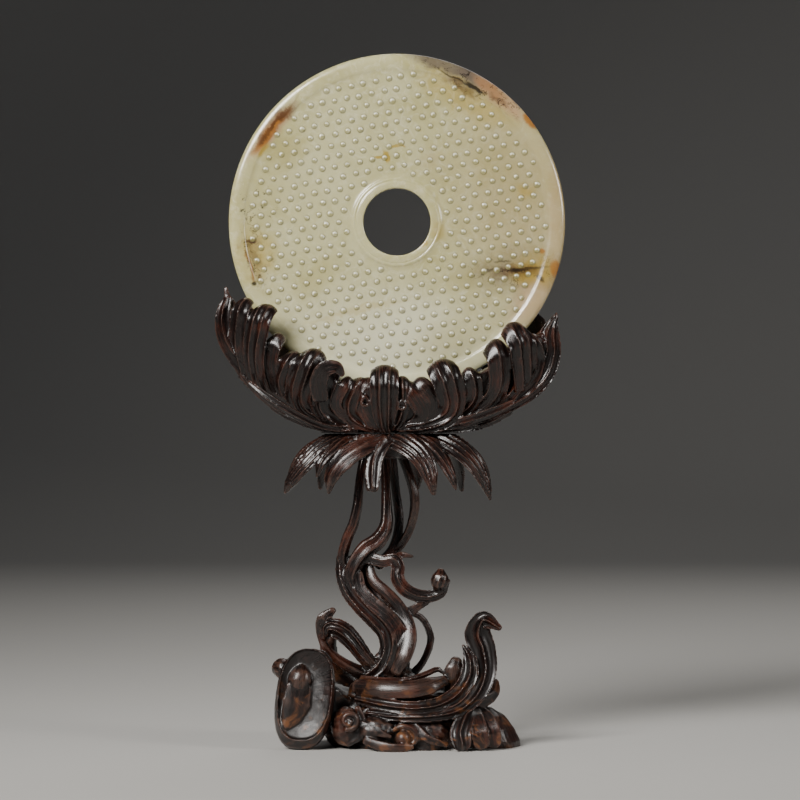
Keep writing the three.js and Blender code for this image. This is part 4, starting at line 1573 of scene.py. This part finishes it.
@dataclass
class Pedestal:
    """The leaf whorl, the stems and trunk, and the base of rock, waves and fungus."""

    knife: Knife = field(default_factory=Knife)
    whorl_x: float = -5
    whorl_top: float = SEAM_Z - 0.02
    back_width: float = 16
    back_tips: tuple[Place, ...] = (
        (46, 10, 124), (32, 26, 124), (10, 33, 125), (-14, 33, 124), (-38, 26, 125), (-54, 8, 124),
    )

    def back_leaf(self, tip: Place) -> Piece:
        """Carves one back leaf: out from under the seam, over a shoulder and down to a point."""
        centre = np.array([self.whorl_x, 0, self.whorl_top])
        end = np.array(tip, float)
        radial = (end - centre) * [1, 1, 0]
        steps = ((0.25, 0), (0.62, 0.5), (0.95, 8))  # shares of the way out, and how far below the top
        controls = [centre + radial * share - UP * below for share, below in steps]

        def spread(share: Array) -> Array:
            """Returns its width at each share, as a share of the greatest."""
            return np.where(share < 0.5, 0.7 + 0.6 * share, 1 - ((share - 0.5) / 0.5) ** 2 * 0.8)

        return carve(
            Droop([*controls, end], unit(radial) + UP),
            lambda share: self.back_width * spread(share),
            lambda share: 3 * np.maximum(spread(share), 0.4),
            Fluted(4, depth=0.4),
            Fineness(80, 80),
        )

    def front_leaves(self) -> list[Piece]:
        """Carves the leaves of the whorl that show from the front, from left to right."""
        left = np.array([-0.45, -0.75, 0.5])
        ahead = np.array([-0.1, -0.85, 0.5])
        right = np.array([0.45, -0.75, 0.5])
        fine = Fineness(84, 90)
        far_left = [
            (-10, -6, 152.5), (-25, -12, 150.8), (-36.5, -16, 145.5), (-44.5, -17, 138), (-50.5, -15, 130),
            (-54.3, -13, 124),
        ]
        bright = [
            (-6, -19, 149.4), (-17, -22.4, 145.4), (-25.6, -23, 139.6), (-30.8, -22.6, 132.5),
            (-33, -21.4, 124),
        ]
        middle = [
            (-4, -17, 150), (-8, -22, 145.6), (-10.4, -24.6, 139), (-11, -26.6, 132.6), (-11, -29, 126.8),
        ]
        tilted = np.array([-0.3, -0.9, 0.3])
        arch = [(-4, -13, 151), (4, -21, 148), (11, -25, 142.5), (15.5, -26, 134), (17.9, -26, 123.8)]
        inner = [(4, -11, 152), (14, -18, 148), (21, -20, 141), (25.5, -21, 133), (28.4, -21, 126)]
        far_right = [
            (8, -6, 152.5), (20, -12, 150.5), (30, -15, 145), (37, -15, 138), (41.8, -13, 129.5),
            (45.4, -11, 120.8),
        ]
        return [
            strap(far_left, [11, 13, 13.5, 12, 8, 1.8], 3.4, 6, left, 0.34, fine),
            strap(bright, [7, 10, 11.5, 8.6, 1.6], 3.4, 2, tilted, 0.16, fine),
            strap(middle, [7, 9, 8.4, 8.6, 6], 3.6, 2, tilted, 0.45, fine),
            strap(arch, [12, 13, 12, 9, 2.4], 3.4, 5, ahead, 0.3, fine),
            strap(inner, [8, 9, 9, 6.5, 1.8], 3.2, 3, right, 0.4, fine),
            strap(far_right, [11, 13.5, 14, 12, 7.5, 1.8], 3.4, 4, right, 0.5, fine),
            strap(
                [(-22, -10, 151), (-30, -19, 146), (-36, -22, 139), (-38.5, -22, 132)],
                [6, 8, 6, 1.6], 3, 3, left, 0.4,
            ),
        ]

    def heart(self) -> Piece:
        """Makes the heart of the leaf whorl, flat on top where the cradle sits."""
        return pile(
            [25, 28, 24, 12],
            [15, 19, 16, 9],
            [3, -3, -8, -12],
            middle=(self.whorl_x, 0, self.whorl_top),
            lean=(0, 0),
            ripple=lambda height, turn: 1 + 0.012 * np.cos(46 * turn),
            fineness=Fineness(240, 40),
        )

    def stems(self) -> list[Piece]:
        """Carves the stems and the loop below the whorl."""
        left = [
            (-15, -3, 146), (-17.8, -6, 132), (-19.2, -7, 118), (-21.2, -7, 109), (-24.4, -6, 101.5),
            (-26.6, -5, 93), (-26, -4, 84),
        ]
        front = [
            (-6, 0, 146), (-5.3, -3, 126), (-5, -4, 116), (-5.2, -5, 108), (-9, -6, 101), (-15.5, -6.5, 96),
            (-20.5, -6.5, 89), (-22.5, -6, 81), (-19, -5.5, 74),
        ]
        behind = [(-3, 7, 146), (-0.8, 7, 126), (1, 6, 108), (-2, 4, 96), (-9, 2, 88)]
        loop = [(0, 1, 147), (5, -1, 135), (8.6, -2, 122), (8, -1, 112), (4, 3, 101), (-5, 5, 90)]
        return [
            stem(left, [5, 4.6, 5.4, 5.8, 6, 6, 6.5]),
            stem(front, [6, 5, 6.2, 7.4, 9, 10, 9, 8, 8], groove=0.3, fineness=Fineness(64, 110)),
            stem(behind, [5, 4.6, 5, 6, 7], ridges=4),
            stem(loop, [5, 4.8, 5.2, 5.2, 5, 6], ridges=4),
        ]

    def trunk(self) -> list[Piece]:
        """Carves the trunk: a core with three broad strands that sweep down its front in an S."""
        core = [
            (-20, 1, 90), (-19, 1, 80), (-14, 1, 72), (-7, 0, 65), (-1, 0, 58.5), (1.4, 0, 51), (0, 0, 43),
            (-4, 0, 32),
        ]
        outer = [
            (-27, -4, 92), (-26.4, -5, 84), (-23.6, -6, 76), (-18, -7.5, 68.5), (-11.5, -9, 62),
            (-6, -10, 55.5), (-4.5, -10, 48), (-8, -10, 40), (-14, -10, 35),
        ]
        inner = [
            (-19, -7, 84), (-17.5, -8, 77), (-12, -9.5, 70.5), (-5, -11, 64.5), (0.2, -12, 57.5),
            (1.2, -12.5, 50), (-1, -12, 42), (-4, -11, 36),
        ]
        sharp = [
            (-13.6, -3, 89), (-11.2, -5, 81), (-5, -7, 75), (1, -8, 68), (5, -9.4, 60), (6, -12.4, 52),
            (3.8, -15, 44), (0, -15.6, 37),
        ]
        fine = Fineness(64, 120)
        return [
            stem(core, [12, 14, 14.5, 15, 15.5, 15.5, 14, 20], 7, 0.95, fineness=Fineness(96, 110)),
            strap(outer, [5, 6.5, 7, 7, 7, 7, 7, 8, 8], 5, 2, np.array([-0.5, -1, 0]), 0.4, fine),
            strap(inner, [5, 6, 7, 7.5, 7.5, 7.5, 7, 6], 5.5, 1, FRONT, 0.45, fine),
            strap(sharp, [4, 5.5, 6, 7, 8.4, 9, 8, 6], 5.5, 1, np.array([-0.26, -0.93, 0.26]), 0.22, fine),
        ]

    def tendril(self) -> list[Piece]:
        """Carves the C-shaped tendril on the trunk's right, with its bud and the small leaf below it."""
        loop = [
            (-14, -5, 92), (-7, -7, 90.5), (-1.6, -8, 91.2), (0.6, -8, 88), (0.2, -8.5, 83), (2.8, -9, 78),
            (8, -9, 74.6), (15, -9, 73.4), (21.4, -9, 75.4), (24.4, -9, 81),
        ]
        return [
            strap(loop, [6, 6, 6.4, 6.6, 7, 7, 6.8, 6.4, 5.6, 3], 5, 1, depth=0.5),
            stem(loop, [4.6, 4.6], deep=1.2, ridges=3),
            strap([(-1.6, -7, 91), (2.2, -7, 93.4), (7.6, -5, 92.6)], [4.4, 3.6, 1.6], 3.6, 1),
            stem(
                [(20.6, -10, 76.4), (20.9, -10.4, 81), (21.4, -10, 86)],
                [5, 8.4, 9, 8, 4], ridges=9, groove=0.12,
            ),
            strap(
                [(0, -4, 63.5), (6.4, -9, 66), (10.6, -11, 68.6), (15.4, -10, 70)], [4, 5.4, 4, 1.2], flutes=1
            ),
            strap([(8, -6, 66), (14, -8, 67.4), (20, -8, 64.4)], [3, 3.4, 1.4], flutes=1),
            stem([(2, 1, 66), (12, 4, 62), (16.5, 5, 52), (13, 4, 41), (6, 2, 33)], [3, 3.6, 4, 4, 5]),
        ]

    def mound(self) -> Piece:
        """Makes the rocky mound that the trunk grows from."""
        body = pile(
            [38, 41, 37, 28, 16, 8],
            [30, 32, 28, 22, 14, 8],
            [-2, 6, 15, 23, 31, 37],
            middle=(7, 5, 0),
            lean=(0.25, 0.1),
            ripple=lambda height, turn: 1 + 0.045 * np.cos(5 * turn + 0.6) + 0.03 * np.cos(9 * turn),
            fineness=Fineness(160, 120),
        )
        roughen(body, 9, 5)
        roughen(body, 3, 1.6)
        return body

    def fungus(self) -> list[Piece]:
        """Makes the broad fungus-shaped lobe at the front left: a dished plate with an egg in its hollow."""
        centre, half, lean = (-44.8, 23.8), (14.3, 24.2), -0.1
        shares = [0.6, 0.9, 1, 1, 0.985, 0.9, 0.87, 0.6, 0.4]
        depths = [-4, -9, -13, -18, -22, -27, -25, -23.6, -23.2]
        rise = [0, 0, 0, 0, 0.8, 3.2, 3.2, 3.2, 3.2]  # how far the dish lies above the plate's middle

        def ring(share: Array, turn: Array) -> Array:
            """Returns the places on the plate's rings, from its back over its lip into the dish."""
            size = through(shares, share)
            up = np.abs(np.sin(turn)) ** 0.8 * np.sign(np.sin(turn)) * half[1] * size
            across = np.abs(np.cos(turn)) ** 0.8 * np.sign(np.cos(turn)) * half[0] * size
            up += through(rise, share)
            depth = through(depths, share) - 0.15 * across + 0.14 * up
            return np.stack([centre[0] + across - up * lean, depth, centre[1] + up], axis=1)

        plate = loft(ring, Fineness(120, 130))
        roughen(plate, 2.4, 0.4)
        lobe = [(-47.4, -22.4, 31), (-48.6, -23.2, 23), (-51.4, -23.6, 15.4), (-55.4, -24, 9)]
        return [
            plate,
            stem(
                [(-47.2, -21, 27.2), (-46.8, -21.6, 33.5), (-46.2, -20, 40)],
                [6, 10.8, 11.8, 10.4, 5], 8, 0.75, 0.05,
            ),
            strap(lobe, [12, 14, 9.6, 2], 2.6, 1, FRONT, 0.12),
            stem([(-38, -8, 22), (-26, -4, 18), (-12, 0, 16)], [26, 22, 20]),
            lump((-55.6, -14, 38.6), (5, 6, 5)),
        ]

    def scroll(self, middle: Place, radius: float, turns: float, width: float, start: float) -> Piece:
        """Carves a scroll seen face on: a stem wound in a shrinking spiral."""
        x, y, z = middle
        places = []
        for share in np.linspace(0, 1, round(turns * 9) + 1):
            turn = start + FULL_TURN * turns * share
            reach = radius * (1 - 0.72 * share)
            places.append((x + reach * math.cos(turn), y - 2.0 * share, z + reach * math.sin(turn)))
        return stem(places, [width, width * 0.9, width * 0.6], ridges=2, deep=1.6, groove=0.1)

    def front_scrolls(self) -> list[Piece]:
        """Carves the snail, the eye with its lip, and the wrinkled rock along the front of the base."""
        return [
            lump((-24.6, -19, 11), (7.4, 8, 9.6)),
            self.scroll((-23.2, -26.5, 14.6), 4.6, 1.3, 3.2, 4.4),
            ball((-23.2, -27.5, 14.8), 1.7),
            stem([(-19, -24, 20.4), (-16.6, -24, 14), (-18.4, -24, 7), (-24, -23, 3)], [3.4, 4.4, 4.6, 4]),
            ball((3, -29.6, 6.2), 3.7),
            stem(
                [(-2.6, -27, 9.4), (2.4, -28, 11.6), (7.6, -28, 9.8), (9.2, -28.6, 5.6), (6, -29, 2.2)],
                [2, 3, 3.2, 3.2, 2.4], 2, groove=0.1,
            ),
            strap(
                [(-15, -28, 5), (-7, -31.5, 2.6), (1, -32.6, 1.8), (7.4, -31, 2.4)],
                [4, 5, 4.6, 2.6], 4, 1, depth=0.3,
            ),
            lump((-10, -24, 9), (9, 6, 7)),
            lump((15, -22, 7), (10, 6, 8)),
            strap([(-17, -26, 13), (-8, -29, 8.6), (-3, -30, 7)], [3, 3.6, 2], 3, 1),
            strap([(9, -27, 12), (15, -29, 6), (24, -27, 3)], [3, 4, 3], 3, 1),
        ]

    def waves(self) -> list[Piece]:
        """Carves the wave bands round the trunk's foot and the two fronds that they run up into."""
        lines = [
            (-17, -14, 34), (-6, -20, 33.6), (6, -21.5, 34), (14, -20, 36.4), (20, -17.5, 38.4),
            (22.6, -17, 36.4),
        ]
        smooth = [(-19, -14, 29.5), (-6, -22, 28.8), (6, -24, 28.6), (15, -22.6, 30), (23, -18, 32.6)]
        middle = [
            (-19, -17, 24), (-5, -25, 21.8), (9, -27.5, 20.8), (21, -26, 22.6), (30, -22, 28),
            (35, -19, 35.6), (35.4, -17.4, 43), (32.2, -16.4, 50),
        ]
        lower = [
            (-14, -21, 17.5), (2, -27, 16.4), (18, -27, 17), (31, -24, 20), (39.6, -19.5, 28), (43, -16, 38),
            (41.8, -14.6, 48), (39.4, -14.6, 56), (42.4, -16, 62.4), (49.8, -18, 58.6),
        ]
        back_leaf = [(27, -13, 30), (27.2, -14.6, 36), (28.8, -14.6, 42.4)]
        return [
            strap(lines, [3, 3, 3, 3.2, 3, 1.4], 3.6, 2),
            strap(smooth, [7, 8.6, 9, 9, 5], 5, 1, np.array([-0.2, -1, 0.35]), 0.12, Fineness(64, 80)),
            strap(middle, [5, 6.4, 7, 7.8, 8.6, 9, 7.6, 1.6], 5, 2, FRONT, 0.6, Fineness(84, 120)),
            strap(lower, [4, 5, 6, 7, 9.4, 11.4, 13, 13.8, 9.6, 3.4], 5, 2, FRONT, 0.6, Fineness(84, 130)),
            strap(back_leaf, [8, 9.6, 9, 6], 5, 1, depth=0.1),
            stem([(20, -10, 22), (34, -8, 22), (46, -4, 26), (48, 0, 31)], [20, 16, 9, 5], ridges=6),
            stem([(-20, -9, 27), (-4, -14, 25), (12, -14, 24), (24, -11, 24)], [12, 16, 16, 12], ridges=5),
        ]

    def right_end(self) -> list[Piece]:
        """Carves the scallop shell and the plainer lobe at the front right of the base."""
        facing = np.array([0, -1, 0.35])
        shell = [
            strap(
                [(37, -13, 18.6), (33.4, -23, 15.4), (30.6, -29.4, 8), (31.4, -30.4, 3)],
                [3.4, 8, 11, 9], 5.4, 2, facing,
            ),
            strap(
                [(37.6, -13, 18.8), (38.4, -22, 15), (40, -27.6, 8.6), (40.8, -28, 3.4)],
                [3, 7, 9, 8], 5.4, 1, facing,
            ),
            strap(
                [(38, -12, 19), (42.4, -18.6, 16), (46, -24.4, 9.6), (47, -24.8, 3.4)],
                [3, 6.6, 8.4, 7], 5.4, 1, facing,
            ),
        ]
        lobe = pile(
            [13.6, 14, 12.4, 9, 4],
            [16, 17, 15, 11, 5],
            [-2, 3, 9.5, 15, 18.5],
            middle=(46.5, -3, 0),
            lean=(0.2, 0),
            ripple=lambda height, turn: 1 + 0.008 * np.cos(40 * turn + 0.4 * height),
            fineness=Fineness(240, 60),
        )
        roughen(lobe, 6, 1.2)
        return [*shell, lobe]

    def left_arch(self) -> list[Piece]:
        """Carves the open arch of root at the left of the trunk, with its bead."""
        column = [
            (-10, -8, 33), (-20, -10, 37.4), (-29, -11.5, 43), (-35, -12, 49), (-36.8, -12, 56),
            (-36, -12.5, 62), (-31, -13.5, 67),
        ]
        arch = [
            (-35, -13, 53.6), (-33, -14, 58), (-27.6, -15, 57), (-21.6, -14, 51.6), (-16.4, -12, 44.6),
            (-11, -9, 38),
        ]
        return [
            stem(column, [9, 7, 5.6, 4.6, 4.6, 6.4, 8.4, 4], ridges=4),
            strap(arch, [4, 8.6, 10.4, 10.4, 9, 8, 7], 5.6, 3, np.array([0, -1, 0.3]), 0.5, Fineness(72, 90)),
            stem(arch, [4, 7, 7.6, 7, 7], ridges=4, deep=1.2),
            ball((-8.2, -9.6, 43.6), 2.7),
        ]

    def back_of_base(self) -> list[Piece]:
        """Carves the plainer waves and the frond at the back of the base."""
        upper = [(24, 26, 20), (4, 31, 22), (-16, 29, 25), (-30, 23, 34), (-34, 19, 46), (-30, 17, 56)]
        lower = [(-38, 24, 10), (-14, 34, 12), (12, 35, 13), (36, 26, 14), (44, 20, 26)]
        return [
            strap(upper, [7, 9, 9, 10, 9, 3], thick=4, flutes=3, facing=BACK),
            strap(lower, [6, 8, 8, 8, 3], thick=4, flutes=3, facing=BACK),
        ]

    def build(self, finish: Material) -> Piece:
        """Carves the finished pedestal in its material."""
        bodies = [
            self.mound(),
            self.heart(),
            *self.front_leaves(),
            *[self.back_leaf(tip) for tip in self.back_tips],
            *self.stems(),
            *self.trunk(),
            *self.tendril(),
            *self.fungus(),
            *self.front_scrolls(),
            *self.waves(),
            *self.right_end(),
            *self.left_arch(),
            *self.back_of_base(),
        ]
        pedestal = self.knife.work("carved_pedestal", bodies, [(0, True), (self.whorl_top, False)])
        dress(pedestal, finish, "pedestal")
        return pedestal


# ---------------------------------------------------------------- the studio


@dataclass(frozen=True)
class SoftBox:
    """A square soft light."""

    name: str
    place: Place  # metres
    size: float  # metres
    power: float  # watts
    spread: float = math.pi  # how widely it fans out, in radians
    tint: tuple[float, float, float] = (1.0, 0.98, 0.95)

    def build(self, aim: Vector) -> Piece:
        """Hangs the light, aimed at a point."""
        light = bpy.data.lights.new(self.name, "AREA")
        light.size = self.size
        light.energy = self.power
        light.spread = self.spread
        light.color = self.tint
        lamp = bpy.data.objects.new(self.name, light)
        bpy.context.collection.objects.link(lamp)
        lamp.location = self.place
        lamp.rotation_euler = (aim - Vector(self.place)).to_track_quat("-Z", "Y").to_euler()
        return lamp


@dataclass
class Studio:
    """The camera, the soft lights and the plain pale floor."""

    eye: Place = (0.0015, -1.6, 0.1692)
    lens: float = 146.7
    aim: Place = (0, 0, 0.2)  # where the lights point
    boxes: tuple[SoftBox, ...] = (
        SoftBox("key_light", (-0.66, -1.0, 0.86), 0.56, 5.0, math.radians(70)),
        SoftBox("side_light", (0.9, -0.5, 0.5), 0.3, 4),
        SoftBox("back_light", (0.3, 1.0, 1.2), 0.9, 4),
    )
    air: Colour = (0.9, 0.93, 1.0, 1)
    air_strength: float = 0.05
    floor_size: float = 6
    floor_colour: Colour = srgb(190, 188, 184)

    def camera(self) -> Piece:
        """Sets up the camera, level and square on to the disc."""
        data = bpy.data.cameras.new("camera")
        data.lens = self.lens
        data.sensor_width = 36
        camera = bpy.data.objects.new("camera", data)
        bpy.context.collection.objects.link(camera)
        camera.location = self.eye
        camera.rotation_euler = (math.pi / 2, 0, 0)
        bpy.context.scene.camera = camera
        return camera

    def floor(self) -> Piece:
        """Lays the pale floor, which sweeps up behind into a backdrop."""
        deselect_all()
        bpy.ops.mesh.primitive_plane_add(size=self.floor_size, location=(0, 0, 0))
        floor = bpy.context.object
        floor.name = "studio_floor"
        with editing(floor):
            bpy.ops.mesh.select_all(action="DESELECT")
        behind = self.floor_size / 2 - 0.1
        for edge in floor.data.edges:
            edge.select = all(floor.data.vertices[v].co.y > behind for v in edge.vertices)
        with editing(floor):
            bpy.ops.mesh.select_mode(type="EDGE")
            bpy.ops.mesh.extrude_region_move(TRANSFORM_OT_translate={"value": (0, 0, self.floor_size / 2)})
        apply_modifier(floor, "BEVEL", width=1.2, segments=24, limit_method="ANGLE")
        floor.data.polygons.foreach_set("use_smooth", np.ones(len(floor.data.polygons), bool))
        material = bpy.data.materials.new("Pale_floor")
        material.use_nodes = True
        shader = material.node_tree.nodes["Principled BSDF"]
        shader.inputs["Base Color"].default_value = self.floor_colour
        shader.inputs["Roughness"].default_value = 0.85
        floor.data.materials.append(material)
        return floor

    def build(self) -> None:
        """Sets up the whole studio."""
        world = bpy.data.worlds.new("studio_air")
        world.use_nodes = True
        background = world.node_tree.nodes["Background"]
        background.inputs["Color"].default_value = self.air
        background.inputs["Strength"].default_value = self.air_strength
        bpy.context.scene.world = world
        self.camera()
        self.floor()
        for box in self.boxes:
            box.build(Vector(self.aim))


def main() -> None:
    """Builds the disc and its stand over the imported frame."""
    logging.basicConfig(level=logging.INFO, format="%(name)s: %(message)s")
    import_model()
    Studio().build()
    low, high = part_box("bi_disc")
    centre = (Vector(low) + Vector(high)) / 2
    rosewood = RosewoodFinish().material()
    JadeDisc().build(JadeFinish().material(stain_group(), vein_group(), centre))
    LeafCradle().build(rosewood)
    Pedestal().build(rosewood)


if __name__ == "__main__":
    main()
